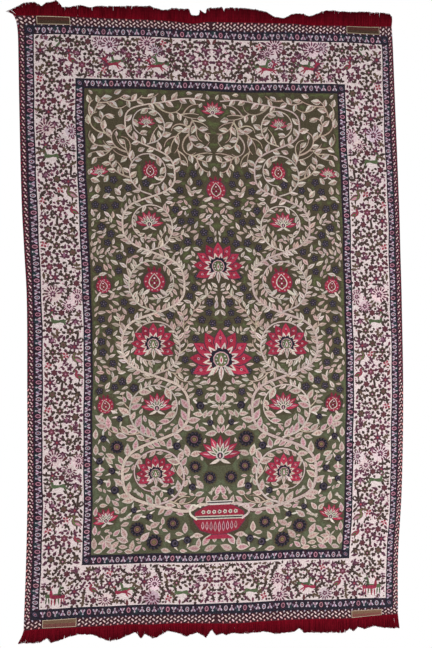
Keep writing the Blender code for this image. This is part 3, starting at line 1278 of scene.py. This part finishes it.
def scatter_flowers(drawing, make, top, bottom, radius, tries):
    """Small flowers of one kind wherever they find room between two heights."""
    rng = drawing.random
    for _ in range(tries):
        x = rng.uniform(FIELD_LEFT + radius + 2, CENTRE_X - radius - 3)
        y = rng.uniform(top, bottom)
        if drawing.is_free(x, y, radius):
            drawing.stamp(make(rng), x, y, rng.uniform(0, 360), level=FLOWER)
            drawing.take(x, y, radius)


SMALL_FLOWERS = (
    # motif, top, bottom, radius, tries
    (daisy, LOW_FLOWERS_TOP, LOW_FLOWERS_BOTTOM, 29, 70),
    (bud, LOW_FLOWERS_TOP, LOW_FLOWERS_BOTTOM, 20, 110),
    (leaf_cluster, LOW_FLOWERS_TOP, LOW_FLOWERS_BOTTOM, 27, 160),
    (grass, LOW_FLOWERS_TOP, LOW_FLOWERS_BOTTOM + 14, 15, 60),
    (round_blossom, UPPER_END - 60, MIDDLE_END, 15, 240),
)


def lay_field(drawing):
    """The left half of the field."""
    for x, y, _radius, _side, name, size in SCROLLS:
        lay_flower(drawing, x, y, name, size)
    for x, y, name, size, turn in SIDE_FLOWERS:
        lay_flower(drawing, x, y, name, size, turn)
    for y, name, size in CENTRE_FLOWERS:
        take_flower(drawing, CENTRE_X, y, name, size)
    for step in range(4):
        drawing.take(CENTRE_X - 22 * step, URN_Y - 50, 46)
    paths = lay_main_vine(drawing)
    for small_flower in SMALL_FLOWERS:
        scatter_flowers(drawing, *small_flower)
    grow_shoots(drawing, paths)
    drawing.level = LEAF
    leaf_along(drawing, paths)
    scatter_leaves(drawing, 20000, 1.0)
    scatter_leaves(drawing, 20000, 0.7)
    scatter_leaves(drawing, 5000, 0.5, MIDDLE_END)
    scatter_flowers(drawing, round_blossom, UPPER_END, MIDDLE_END, 13, 700)


# Yarns of the plain grounds, from the cloth's edge inwards, and how far apart their edges' points are.
GROUNDS = (
    # yarn, spacing
    ("braid_dark", EDGE_SPACING),
    ("navy", GROUND_STEP),
    ("cream", GROUND_STEP),
    ("navy", GROUND_STEP),
    ("olive_top", GROUND_STEP),
)


def draw_pattern():
    """The left half as it was drawn, and the whole drawing."""
    drawing = Drawing()
    rims = [(DRAWN_X[step], BANDS_Y[step], DRAWN_X[9 - step], BANDS_Y[9 - step]) for step in range(5)]
    for rim, (yarn, spacing) in zip(rims, GROUNDS):
        drawing.lay(rectangle(*rim, spacing), yarn, GROUND)
    half = Drawing()
    lay_border(half)
    lay_field(half)
    half.add_mirrored()
    drawing.shapes += half.shapes
    drawing.level = RIM
    for y, name, size in CENTRE_FLOWERS:
        lay_flower(drawing, CENTRE_X, y, name, size)
    drawing.stamp(urn(), CENTRE_X, URN_Y)
    lay_braid(drawing)
    lay_guard(drawing, rims[1], rims[2], OUTER_GUARD_LINE)
    lay_guard(drawing, rims[3], rims[4], INNER_GUARD_LINE)
    lay_bars(drawing)
    return half, drawing


# From the drawing to cloth, in millimetres

GROUND_SPACING = 13.0
GROUND_CLEAR = 2.2
GRID_SPACING = 30.0
JOIN_WITHIN = 0.02
NORMAL_REACH = 2.0
WANDER_FADE = 40.0

# The field's ground grows greener over this many millimetres, from this height down.
GREENER_FROM = 900
GREENER_OVER = 500
GREENER_CLOSE = 0.4


def weave_points(points):
    """Moves drawn places to where the weaving really put them."""
    x = np.interp(points[:, 0], DRAWN_X, WOVEN_X)
    y = points[:, 1]
    inside = np.clip(np.minimum(np.minimum(x, WIDTH - x), np.minimum(y, HEIGHT - y)) / WANDER_FADE, 0, 1)
    wander_x = 1.3 * np.sin(y / 83 + 0.4) + 0.9 * np.sin(y / 31 + x / 240)
    wander_y = 1.4 * np.sin(x / 97 + 1.1) + 0.9 * np.sin(x / 37 + y / 310)
    return np.stack([x + wander_x * inside, y + wander_y * inside], axis=-1)


def clear_ground(half):
    """Places of the field's left half, and their mirror images, with room between the leaves."""
    rng = half.random
    places = []
    for column in range(int((CENTRE_X - FIELD_LEFT) / GROUND_SPACING)):
        for row in range(int((FIELD_BOTTOM - FIELD_TOP) / GROUND_SPACING)):
            x = FIELD_LEFT + (column + rng.uniform(0.2, 0.8)) * GROUND_SPACING
            y = FIELD_TOP + (row + rng.uniform(0.2, 0.8)) * GROUND_SPACING
            if half.is_free(x, y, GROUND_CLEAR):
                places += [(x, y), (2 * CENTRE_X - x, y)]
    return places


def triangulate(outlines, clear_places):
    """Cuts the flat cloth into triangles along every outline, and says which points are clear places."""
    places = [Vector(place) for place in clear_places]
    edges = []
    for outline in outlines:
        first = len(places)
        places.extend(Vector(point) for point in outline)
        last = len(places) - 1
        edges.extend((number, number + 1) for number in range(first, last))
        edges.append((last, first))
    for column in range(1, int(WIDTH / GRID_SPACING)):
        for row in range(1, int(HEIGHT / GRID_SPACING)):
            places.append(Vector((column * GRID_SPACING, row * GRID_SPACING)))
    made = delaunay_2d_cdt(places, edges, [], 0, JOIN_WITHIN, True)
    is_clear = np.array([any(source < len(clear_places) for source in sources) for sources in made[3]])
    return np.array([tuple(vertex) for vertex in made[0]]), np.array(made[2]), is_clear


def wound_round(outline, x, y):
    """Which of many places an outline goes round."""
    start = np.array(outline)[:, :, None]
    end = np.roll(start, -1, axis=0)
    ax, ay, bx, by = start[:, 0], start[:, 1], end[:, 0], end[:, 1]
    side = (bx - ax) * (y - ay) - (x - ax) * (by - ay)
    rising = (ay <= y) & (by > y) & (side > 0)
    falling = (ay > y) & (by <= y) & (side < 0)
    return rising.sum(axis=0) != falling.sum(axis=0)


def topmost(outlines, centres):
    """The number of the last outline that goes round each place, or -1."""
    order = np.argsort(centres[:, 1])
    x, y = centres[order, 0], centres[order, 1]
    numbers = np.full(len(centres), -1)
    for number, outline in enumerate(outlines):
        low_x, low_y = np.min(outline, axis=0)
        high_x, high_y = np.max(outline, axis=0)
        first, last = np.searchsorted(y, (low_y, high_y))
        near = first + np.flatnonzero((x[first:last] > low_x) & (x[first:last] < high_x))
        if len(near):
            numbers[near[wound_round(outline, x[near], y[near])]] = number
    found = np.empty(len(centres), int)
    found[order] = numbers
    return found


def dyed_and_dimmed_yarns(yarns):
    """The colour of each outline's yarn, with small differences from one to the next, and a painted dimming
    of them all for this scene's lights.
    """
    rng = np.random.default_rng(4)
    table = {name: daylight(colour) for name, colour in YARNS.items()}
    base = np.array([table[yarn] for yarn in yarns])
    tone = DYE_SPREAD * rng.standard_normal((len(base), 1))
    hue = HUE_SPREAD * rng.standard_normal((len(base), 3))
    dye = 1 + tone + hue
    dye[:len(GROUNDS)] = 1
    return PAINTED_DIMMING * base * np.clip(dye, *DYE_RANGE)


def ground_colours(places, is_clear):
    """The field's ground: brighter between the leaves than close to them, greener further down, and dimmed
    like the yarns by painted dimming.
    """
    low = np.clip((places[..., 1] - GREENER_FROM) / GREENER_OVER, 0, 1)[..., None]
    olive = daylight(YARNS["olive_top"]) * (1 - low) + daylight(YARNS["olive_low"]) * low
    close = daylight(YARNS["shade"]) * (1 - low * GREENER_CLOSE) + olive * low * GREENER_CLOSE
    return PAINTED_DIMMING * np.where(is_clear[..., None], olive, close)


def add_mesh(name, vertices, faces, colours, uvs, material):
    """A piece from arrays: vertices, faces, and a colour and a UV for each corner of a face."""
    used, faces = np.unique(np.asarray(faces), return_inverse=True)
    faces = faces.reshape(-1, colours.shape[1])
    vertices = vertices[used]
    mesh = bpy.data.meshes.new(name)
    mesh.vertices.add(len(vertices))
    mesh.vertices.foreach_set("co", np.ascontiguousarray(vertices, dtype=np.float32).ravel())
    sides = faces.shape[1]
    mesh.loops.add(faces.size)
    mesh.loops.foreach_set("vertex_index", faces.ravel().astype(np.int32))
    mesh.polygons.add(len(faces))
    mesh.polygons.foreach_set("loop_start", np.arange(0, faces.size, sides, dtype=np.int32))
    mesh.update(calc_edges=True)
    layer = mesh.uv_layers.new(name="OFBake")
    layer.data.foreach_set("uv", np.ascontiguousarray(uvs, dtype=np.float32).ravel())
    attribute = mesh.color_attributes.new("yarn", "FLOAT_COLOR", "CORNER")
    spread = np.concatenate([colours, np.ones(colours.shape[:2] + (1,))], axis=2)
    attribute.data.foreach_set("color", np.ascontiguousarray(spread, dtype=np.float32).ravel())
    mesh.polygons.foreach_set("use_smooth", np.ones(len(faces), dtype=bool))
    mesh.validate()
    mesh.materials.append(material)
    piece = bpy.data.objects.new(name, mesh)
    bpy.context.scene.collection.objects.link(piece)
    return piece


def surface_normals(across, down):
    """Unit normals of the hanging cloth, towards its front."""
    east = hang(across + NORMAL_REACH, down) - hang(across - NORMAL_REACH, down)
    south = hang(across, down + NORMAL_REACH) - hang(across, down - NORMAL_REACH)
    normals = np.cross(south, east)
    normals /= np.linalg.norm(normals, axis=1)[:, None]
    return np.where(normals[:, 1:2] > 0, -normals, normals)


# Materials


class Graph:
    """A new material, with short ways to add and join its shader nodes."""

    def __init__(self, name):
        self.material = bpy.data.materials.new(name)
        self.material.use_nodes = True
        self.tree = self.material.node_tree
        self.shader = self.tree.nodes["Principled BSDF"]

    def put(self, node, inputs):
        """Joins or sets a node's inputs, given by name or number."""
        for key, value in inputs.items():
            if isinstance(value, bpy.types.NodeSocket):
                self.tree.links.new(value, node.inputs[key])
            else:
                node.inputs[key].default_value = value

    def add(self, kind, settings, inputs):
        node = self.tree.nodes.new(kind)
        for key, value in settings.items():
            setattr(node, key, value)
        self.put(node, inputs)
        return node

    def yarn(self):
        """The colour of the yarn, which each mesh carries at its corners."""
        return self.add("ShaderNodeAttribute", {"attribute_name": "yarn"}, {}).outputs["Color"]

    def math(self, operation, *values):
        return self.add("ShaderNodeMath", {"operation": operation}, dict(enumerate(values))).outputs[0]

    def sway(self, wave, amount, start):
        """A value that a noise raises and lowers by that amount."""
        return self.math("MULTIPLY_ADD", self.math("SUBTRACT", wave, 0.5), amount, start)

    def stretched(self, vector, scale):
        return self.add("ShaderNodeMapping", {}, {"Vector": vector, "Scale": scale}).outputs["Vector"]

    def noise(self, vector, scale, detail=2.0):
        inputs = {"Vector": self.stretched(vector, scale), "Scale": 1.0, "Detail": detail}
        return self.add("ShaderNodeTexNoise", {}, inputs).outputs["Fac"]

    def scaled(self, colour, amount):
        """A colour made lighter or darker."""
        inputs = {0: colour, "Scale": amount}
        return self.add("ShaderNodeVectorMath", {"operation": "SCALE"}, inputs).outputs[0]

    def mix(self, part, first, second, blend="MIX"):
        """Two colours mixed. In a colour mix, input 0 is the part and inputs 6 and 7 are the colours."""
        settings = {"data_type": "RGBA", "blend_type": blend, "clamp_factor": True}
        return self.add("ShaderNodeMix", settings, {0: part, 6: first, 7: second}).outputs[2]

    def bump(self, height, strength, distance):
        inputs = {"Height": height, "Strength": strength, "Distance": distance}
        return self.add("ShaderNodeBump", {}, inputs).outputs[0]

    def finished(self, inputs):
        """Gives the shader its inputs and returns the material."""
        self.put(self.shader, inputs)
        return self.material


# Thread spacing in metres, and colours of the stray wool and of the rosy tint.
WEFT = 0.0016
WARP = 0.0024
STRAY_WOOL = (140, 118, 108)
ROSY_TINT = (1.0, 0.62, 0.66, 1.0)


def woven_material(name, tint_amount=0.30):
    """Wool tapestry: weft ribs over warp, uneven dye, mottled threads, painted shade in the grooves between
    the threads and a soft nap.
    """
    graph = Graph(name)
    uv = graph.add("ShaderNodeUVMap", {"uv_map": "OFBake"}, {}).outputs[0]
    flat = graph.stretched(uv, (WIDTH * MM, HEIGHT * MM, 1))
    axes = graph.add("ShaderNodeSeparateXYZ", {}, {0: flat})
    wander = graph.math("MULTIPLY", graph.noise(flat, (30, 90, 1)), 5.0)
    weft_phase = graph.math("MULTIPLY_ADD", axes.outputs[1], 2 * math.pi / WEFT, wander)
    warp_phase = graph.math("MULTIPLY", axes.outputs[0], 2 * math.pi / WARP)
    weft = graph.math("SINE", weft_phase)
    warp = graph.math("SINE", graph.math("ADD", warp_phase, graph.math("MULTIPLY", weft_phase, 0.5)))
    thread_wave = graph.math("MULTIPLY_ADD", weft, 0.6, graph.math("MULTIPLY", warp, 0.4))
    threads = graph.noise(flat, (130, 420, 1), 3.0)
    mottle = graph.noise(flat, (210, 260, 1))
    cloudy = graph.noise(flat, (7, 16, 1), 3.0)
    amount = graph.sway(threads, 0.7, 1.0)
    amount = graph.sway(mottle, 1.3, amount)
    amount = graph.sway(cloudy, 0.22, amount)
    # Painted shade and light of the weave: darker in the grooves between the threads, lighter on their
    # crests, following the bump's height.
    amount = graph.math("MULTIPLY_ADD", thread_wave, 0.07, amount)
    stray = graph.math("SUBTRACT", graph.noise(flat, (330, 300, 1)), 0.5)
    stray_part = graph.math("MULTIPLY", graph.math("MAXIMUM", stray, 0.0), 0.6)
    wool = graph.mix(stray_part, graph.yarn(), (*daylight(STRAY_WOOL), 1.0))
    tint = graph.math("SUBTRACT", graph.noise(flat, (42, 38, 1)), 0.45)
    tint_part = graph.math("MULTIPLY", tint, tint_amount)
    return graph.finished({
        "Base Color": graph.mix(tint_part, graph.scaled(wool, amount), ROSY_TINT, "MULTIPLY"),
        "Normal": graph.bump(graph.math("MULTIPLY_ADD", threads, 0.5, thread_wave), 0.45, 0.0004),
        "Roughness": graph.math("MULTIPLY_ADD", mottle, 0.16, 0.80),
        "Specular IOR Level": 0.06,
        "Sheen Weight": 0.03,
        "Sheen Roughness": 0.6,
    })


def yarn_material():
    """Crimson fringe yarn: streaks of lighter and darker wool, and broad patches of painted shade for the
    dark in among the strands.
    """
    graph = Graph("fringe_yarn")
    place = graph.add("ShaderNodeTexCoord", {}, {}).outputs["Object"]
    fibres = graph.noise(place, (900, 900, 160), 3.0)
    clumps = graph.noise(place, (60, 60, 30))
    # The clumps noise darkens broad patches: painted shade standing for the shade in among the strands.
    amount = graph.sway(clumps, 0.8, graph.sway(fibres, 0.9, 1.0))
    return graph.finished({
        "Base Color": graph.scaled(graph.yarn(), amount),
        "Normal": graph.bump(fibres, 0.4, 0.0003),
        "Roughness": graph.math("MULTIPLY_ADD", clumps, 0.2, 0.72),
        "Specular IOR Level": 0.02,
    })


# The cloth's two sides and its edge

REVERSE_CELL = 6.25
REVERSE_MIX = 0.40
REVERSE_TONE = (112, 96, 86)
REVERSE_TINT = 0.1
EDGE_STRIP = 0.05


def flat_uv(across, down):
    """The texture place of places of the flat cloth."""
    return np.stack([across / WIDTH, 1 - down / HEIGHT], axis=-1)


def make_face(half, drawing):
    """The cloth's front in four pieces: the field with its guard, and the border, each in two halves."""
    outlines, yarns = drawing.in_order()
    points, triangles, is_clear = triangulate(outlines, clear_ground(half))
    centres = points[triangles].mean(axis=1)
    numbers = topmost(outlines, centres)
    woven = weave_points(points)
    across, down = woven[:, 0], woven[:, 1]
    front = hang(across, down) + surface_normals(across, down) * (THICKNESS / 2 * MM)
    corners = points[triangles]
    colours = np.repeat(dyed_and_dimmed_yarns(yarns)[numbers][:, None], 3, axis=1)
    is_ground = np.array([yarn == "olive_top" for yarn in yarns])[numbers]
    colours = np.where(is_ground[:, None, None], ground_colours(corners, is_clear[triangles]), colours)
    placed = front[triangles]
    facing = np.cross(placed[:, 1] - placed[:, 0], placed[:, 2] - placed[:, 0])[:, 1]
    is_turned = (facing > 0)[:, None]
    colours = np.where(is_turned[..., None], colours[:, ::-1], colours)
    triangles = np.where(is_turned, triangles[:, ::-1], triangles)
    uv = flat_uv(across, down)
    in_field = ((centres[:, 0] > DRAWN_X[3]) & (centres[:, 0] < DRAWN_X[6])
                & (centres[:, 1] > BANDS_Y[3]) & (centres[:, 1] < BANDS_Y[6]))
    is_upper = centres[:, 1] < HEIGHT / 2
    parts = (
        ("field_upper", in_field & is_upper), ("field_lower", in_field & ~is_upper),
        ("border_upper", ~in_field & is_upper), ("border_lower", ~in_field & ~is_upper),
    )
    material = woven_material("woven_wool")
    pieces = []
    for name, part in parts:
        part = part & (numbers >= 0)
        pieces.append(add_mesh(name, front, triangles[part], colours[part], uv[triangles[part]], material))
    return pieces


def make_reverse(drawing):
    """The back of the cloth, where every yarn shows duller in short stepped rows."""
    outlines, yarns = drawing.in_order()
    columns, rows = round(WIDTH / REVERSE_CELL), round(HEIGHT / REVERSE_CELL)
    station_x = np.linspace(0, WIDTH, columns + 1)
    station_y = np.linspace(0, HEIGHT, rows + 1)
    across, down = (grid.ravel() for grid in np.meshgrid(station_x, station_y))
    back = hang(across, down) - surface_normals(across, down) * (THICKNESS / 2 * MM)
    column, row = (grid.ravel() for grid in np.meshgrid(np.arange(columns), np.arange(rows)))
    first = row * (columns + 1) + column
    cells = np.stack([first, first + 1, first + columns + 2, first + columns + 1], axis=1)
    middles = np.stack([(column + 0.5) * REVERSE_CELL, (row + 0.5) * REVERSE_CELL], axis=-1)
    shown = dyed_and_dimmed_yarns(yarns)[topmost(outlines, middles)]
    muted = shown * (1 - REVERSE_MIX) + daylight(REVERSE_TONE) * REVERSE_MIX
    colours = np.repeat(muted[:, None], 4, axis=1)
    material = woven_material("woven_wool_reverse", REVERSE_TINT)
    return add_mesh("cloth_reverse", back, cells, colours, flat_uv(across, down)[cells], material)


def make_edge():
    """The thin edge between face and reverse."""
    corners = np.array([(0, 0), (WIDTH, 0), (WIDTH, HEIGHT), (0, HEIGHT)], float)
    stations = []
    for start, end in zip(corners, np.roll(corners, -1, axis=0)):
        steps = round(np.abs(end - start).sum() / EDGE_SPACING)
        stations.append(start + (end - start) * np.arange(steps)[:, None] / steps)
    across, down = np.concatenate(stations).T
    count = len(across)
    middle = hang(across, down)
    offset = surface_normals(across, down) * (THICKNESS / 2 * MM)
    this = np.arange(count)
    following = (this + 1) % count
    quads = np.stack([following, this, this + count, following + count], axis=1)
    part = this / count
    ahead = part + 1 / count
    low, high = np.zeros(count), np.full(count, EDGE_STRIP)
    corner_uvs = ((ahead, low), (part, low), (part, high), (ahead, high))
    uvs = np.stack([np.stack(pair, axis=-1) for pair in corner_uvs], axis=1)
    colours = np.tile(daylight(YARNS["maroon"]), (count, 4, 1))
    vertices = np.concatenate([middle + offset, middle - offset])
    return add_mesh("cloth_edge", vertices, quads, colours, uvs, woven_material("woven_wool_edge"))


# The fringes

TOP_FRINGE = (
    # across, length, lean to the right
    (0, 13, -24), (15, 28, -14), (35, 44, -8), (58, 46, -2), (75, 31, 2), (90, 44, 3), (123, 53, 1),
    (145, 32, -1), (170, 32, 0), (200, 42, 2), (229, 34, 0), (262, 40, -1), (340, 43, 1), (425, 47, 2),
    (472, 34, -1), (501, 43, 0), (550, 48, 2), (556, 45, 0), (562, 28, 0), (590, 26, 0), (594, 42, -1),
    (606, 32, 0), (614, 29, 0), (618, 46, 0), (667, 50, 0), (673, 41, 0), (680, 49, 0),
    (720, 50, 1), (778, 47, -1), (822, 38, -2), (845, 22, 0), (876, 19, 2), (903, 33, 1), (940, 37, 0),
    (964, 31, -1), (1015, 51, 1), (1101, 49, 0), (1187, 50, 2), (1239, 43, 3), (1250, 34, 2),
)
BOTTOM_FRINGE = (
    # across, length, lean to the right
    (0, 43, -18), (25, 45, -8), (52, 47, -2), (76, 33, 0), (85, 48, 1), (111, 44, 0), (134, 35, -1),
    (176, 25, 0), (222, 28, 1), (258, 46, 1), (281, 54, 0), (304, 50, -1), (327, 42, -1), (363, 28, 0),
    (378, 50, 1), (393, 32, 0), (419, 47, -1), (436, 43, 0), (466, 26, 1), (499, 32, 0), (529, 46, 0),
    (566, 31, -1), (597, 49, -2), (613, 22, 0), (628, 43, 1), (647, 34, 0), (663, 40, 0), (680, 33, -1),
    (734, 38, 0), (789, 36, 1), (829, 46, 0), (891, 43, 0), (910, 31, -1), (925, 47, 0), (987, 48, 1),
    (1028, 48, 0), (1063, 49, 0), (1080, 36, -1), (1091, 47, 1), (1108, 33, 0), (1130, 43, 1),
    (1160, 36, 0), (1205, 46, 2), (1250, 50, 7),
)
EDGE_SPAN = 25.0
STRIP_WIDTH = 5.0
YARN_COUNT = 4400
YARN_STEPS = 5
FIRST_STEP = 1 / YARN_STEPS
YARN_SIDES = 3
YARN_RADIUS = 1.05
TUFT_WIDTH = 9.0
FRINGE_ROOT = (98, 8, 22)
FRINGE_TIP = (68, 5, 14)


def make_fringe(name, edge, table, seed, material):
    """Thousands of fine yarns along the top edge, 0, or the bottom edge, 1, drawn together into tufts."""
    rng = np.random.default_rng(seed)
    rows = np.array(table, float)
    upward = 1 - 2 * edge
    across = (np.arange(YARN_COUNT) + rng.uniform(-0.8, 0.8, YARN_COUNT) + 0.5) / YARN_COUNT * WIDTH
    across = np.clip(across, 0.6, WIDTH - 0.6)
    tuft = np.floor(across / TUFT_WIDTH + 0.35 * np.sin(across / 17))
    tuft_shift = rng.uniform(-0.9, 0.9, int(tuft.max()) + 2)[tuft.astype(int)]
    tuft_length = rng.uniform(0.96, 1.02, int(tuft.max()) + 2)[tuft.astype(int)]
    length = np.interp(across, rows[:, 0], rows[:, 1]) * tuft_length
    length *= rng.triangular(0.91, 0.99, 1.02, YARN_COUNT)
    lean = np.interp(across, rows[:, 0], rows[:, 2]) + tuft_shift + rng.uniform(-1.4, 1.4, YARN_COUNT)
    gather = ((tuft + 0.5) * TUFT_WIDTH - across) * rng.uniform(0.0, 0.16, YARN_COUNT)
    depth = rng.uniform(-2.2, 2.2, YARN_COUNT)
    bow = rng.uniform(-1.6, 1.6, YARN_COUNT)
    edge_down = np.full(YARN_COUNT, float(edge * HEIGHT))
    rim = hang(across, edge_down) / MM
    inner = hang(across, edge_down + upward * EDGE_SPAN) / MM
    outward = (rim - inner) / np.linalg.norm(rim - inner, axis=1)[:, None]
    root = rim + outward * STRIP_WIDTH
    sideways = np.array([1.0, 0.0, 0.0])
    forwards = np.array([0.0, -1.0, 0.0])
    upright = np.array([0.0, 0.0, upward])
    rings = []
    for step in range(YARN_STEPS + 1):
        t = step / YARN_STEPS
        side = (lean * t ** 1.5 + gather * t + bow * math.sin(math.pi * t))[:, None] * sideways
        front = (depth * (0.35 + 0.65 * math.sin(math.pi * min(t, 0.8))) + bow * t)[:, None] * forwards
        reach = (length - STRIP_WIDTH) * max(0.0, t - FIRST_STEP) / (1 - FIRST_STEP)
        centre = (rim if step == 0 else root) + reach[:, None] * upright + side + front
        radius = YARN_RADIUS * (1.0 if t < 0.9 else 0.45)
        for corner in range(YARN_SIDES):
            angle = 2 * math.pi * corner / YARN_SIDES + t
            rings.append(centre + radius * (math.cos(angle) * sideways + math.sin(angle) * forwards))
    vertices = np.stack(rings, axis=1).reshape(-1, 3) * MM
    faces = []
    for step in range(YARN_STEPS):
        for corner in range(YARN_SIDES):
            a = step * YARN_SIDES + corner
            b = step * YARN_SIDES + (corner + 1) % YARN_SIDES
            faces.append((a, b, b + YARN_SIDES, a + YARN_SIDES))
    faces = np.array(faces)
    if upward < 0:
        faces = faces[:, ::-1]
    per_yarn = YARN_SIDES * (YARN_STEPS + 1)
    quads = (faces[None] + (np.arange(YARN_COUNT) * per_yarn)[:, None, None]).reshape(-1, 4)
    step_of_face = np.repeat(np.arange(YARN_STEPS), YARN_SIDES)
    tone = ((step_of_face + 0.5) / YARN_STEPS)[None, :, None]
    root, tip = daylight(FRINGE_ROOT), daylight(FRINGE_TIP)
    shade = rng.uniform(0.72, 1.2, YARN_COUNT)[:, None, None]
    colours = ((root * (1 - tone) + tip * tone) * shade).reshape(-1, 1, 3)
    colours = np.repeat(colours, 4, axis=1)
    return add_mesh(name, vertices, quads, colours, fringe_uvs(upward), material)


def fringe_uvs(upward):
    """Each side of each yarn gets its own narrow upright strip."""
    strip = 1 / (YARN_COUNT * YARN_SIDES)
    corner_of_face = np.tile(np.arange(YARN_SIDES), YARN_STEPS)
    step_of_face = np.repeat(np.arange(YARN_STEPS), YARN_SIDES)
    u = np.stack([corner_of_face, corner_of_face + 1, corner_of_face + 1, corner_of_face], axis=1) * strip
    v = np.stack([step_of_face, step_of_face, step_of_face + 1, step_of_face + 1], axis=1) / YARN_STEPS
    if upward < 0:
        u, v = u[:, ::-1], v[:, ::-1]
    starts = (np.arange(YARN_COUNT) * YARN_SIDES * strip)[:, None, None]
    every_u = u[None] + starts
    every_v = np.broadcast_to(v[None], every_u.shape)
    return np.stack([every_u, every_v], axis=-1).reshape(-1, 4, 2)


# Camera, light and floor

PHOTO_HEIGHT_PX = 648
FOCAL_PX = 1051.8
SENSOR = 24.0
CAMERA_PLACE = (-0.3873, -3.467, -0.9503)
CAMERA_YAW = -6.635
CAMERA_PITCH = -0.787
CAMERA_ROLL = 0.328
LIGHTS = (
    # name, place, target, power
    ("key", (1.35, -1.9, -1.35), (0.3, 0, -1.35), 41),
    ("fill", (-0.8, -2.0, -2.05), (-0.4, 0, -1.8), 19),
)
LIGHT_SIZE = 1.6
FLOOR_CORNERS = ((-3.5, -3.5, -2.45), (3.5, -3.5, -2.45), (3.5, 0.85, -2.45), (-3.5, 0.85, -2.45))


def add_camera():
    """The photographer's camera, which looks a little from the left."""
    data = bpy.data.cameras.new("camera")
    data.sensor_fit = "VERTICAL"
    data.sensor_height = SENSOR
    data.lens = FOCAL_PX / PHOTO_HEIGHT_PX * SENSOR
    camera = bpy.data.objects.new("camera", data)
    yaw = Matrix.Rotation(math.radians(CAMERA_YAW), 4, "Z")
    pitch = Matrix.Rotation(math.radians(CAMERA_PITCH), 4, "X")
    roll = Matrix.Rotation(math.radians(CAMERA_ROLL), 4, "Y")
    upright = Matrix.Rotation(math.radians(90), 4, "X")
    camera.matrix_world = Matrix.Translation(CAMERA_PLACE) @ yaw @ pitch @ roll @ upright
    bpy.context.scene.collection.objects.link(camera)
    bpy.context.scene.camera = camera


def add_light(name, place, target, power):
    """A soft square light that faces its target."""
    data = bpy.data.lights.new(name, "AREA")
    data.shape = "SQUARE"
    data.size = LIGHT_SIZE
    data.energy = power
    light = bpy.data.objects.new(name, data)
    light.location = place
    light.rotation_euler = (Vector(target) - Vector(place)).to_track_quat("-Z", "Y").to_euler()
    bpy.context.scene.collection.objects.link(light)


def add_studio():
    """White surroundings, two large soft lights and a pale floor well below the cloth."""
    world = bpy.data.worlds.new("studio")
    bpy.context.scene.world = world
    world.use_nodes = True
    background = world.node_tree.nodes["Background"]
    background.inputs["Color"].default_value = (1, 1, 1, 1)
    background.inputs["Strength"].default_value = 1.0
    bpy.context.scene.view_settings.view_transform = "Standard"
    for light in LIGHTS:
        add_light(*light)
    mesh = bpy.data.meshes.new("floor")
    mesh.from_pydata(FLOOR_CORNERS, [], [(0, 1, 2, 3)])
    mesh.materials.append(Graph("floor").finished({"Base Color": (0.86, 0.85, 0.83, 1), "Roughness": 0.8}))
    floor = bpy.data.objects.new("floor", mesh)
    bpy.context.scene.collection.objects.link(floor)


def main():
    add_camera()
    add_studio()
    half, drawing = draw_pattern()
    sheet = make_reverse(drawing)
    cloth = make_face(half, drawing) + [make_edge(), sheet]
    yarn = yarn_material()
    fringes = {
        "fringe_top": make_fringe("yarn_fringe_top", 0, TOP_FRINGE, 21, yarn),
        "fringe_bottom": make_fringe("yarn_fringe_bottom", 1, BOTTOM_FRINGE, 22, yarn),
    }
    for piece in cloth:
        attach(piece, "root")
        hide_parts("cloth")
    for node, piece in fringes.items():
        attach(piece, "root")
        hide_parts(node)


main()
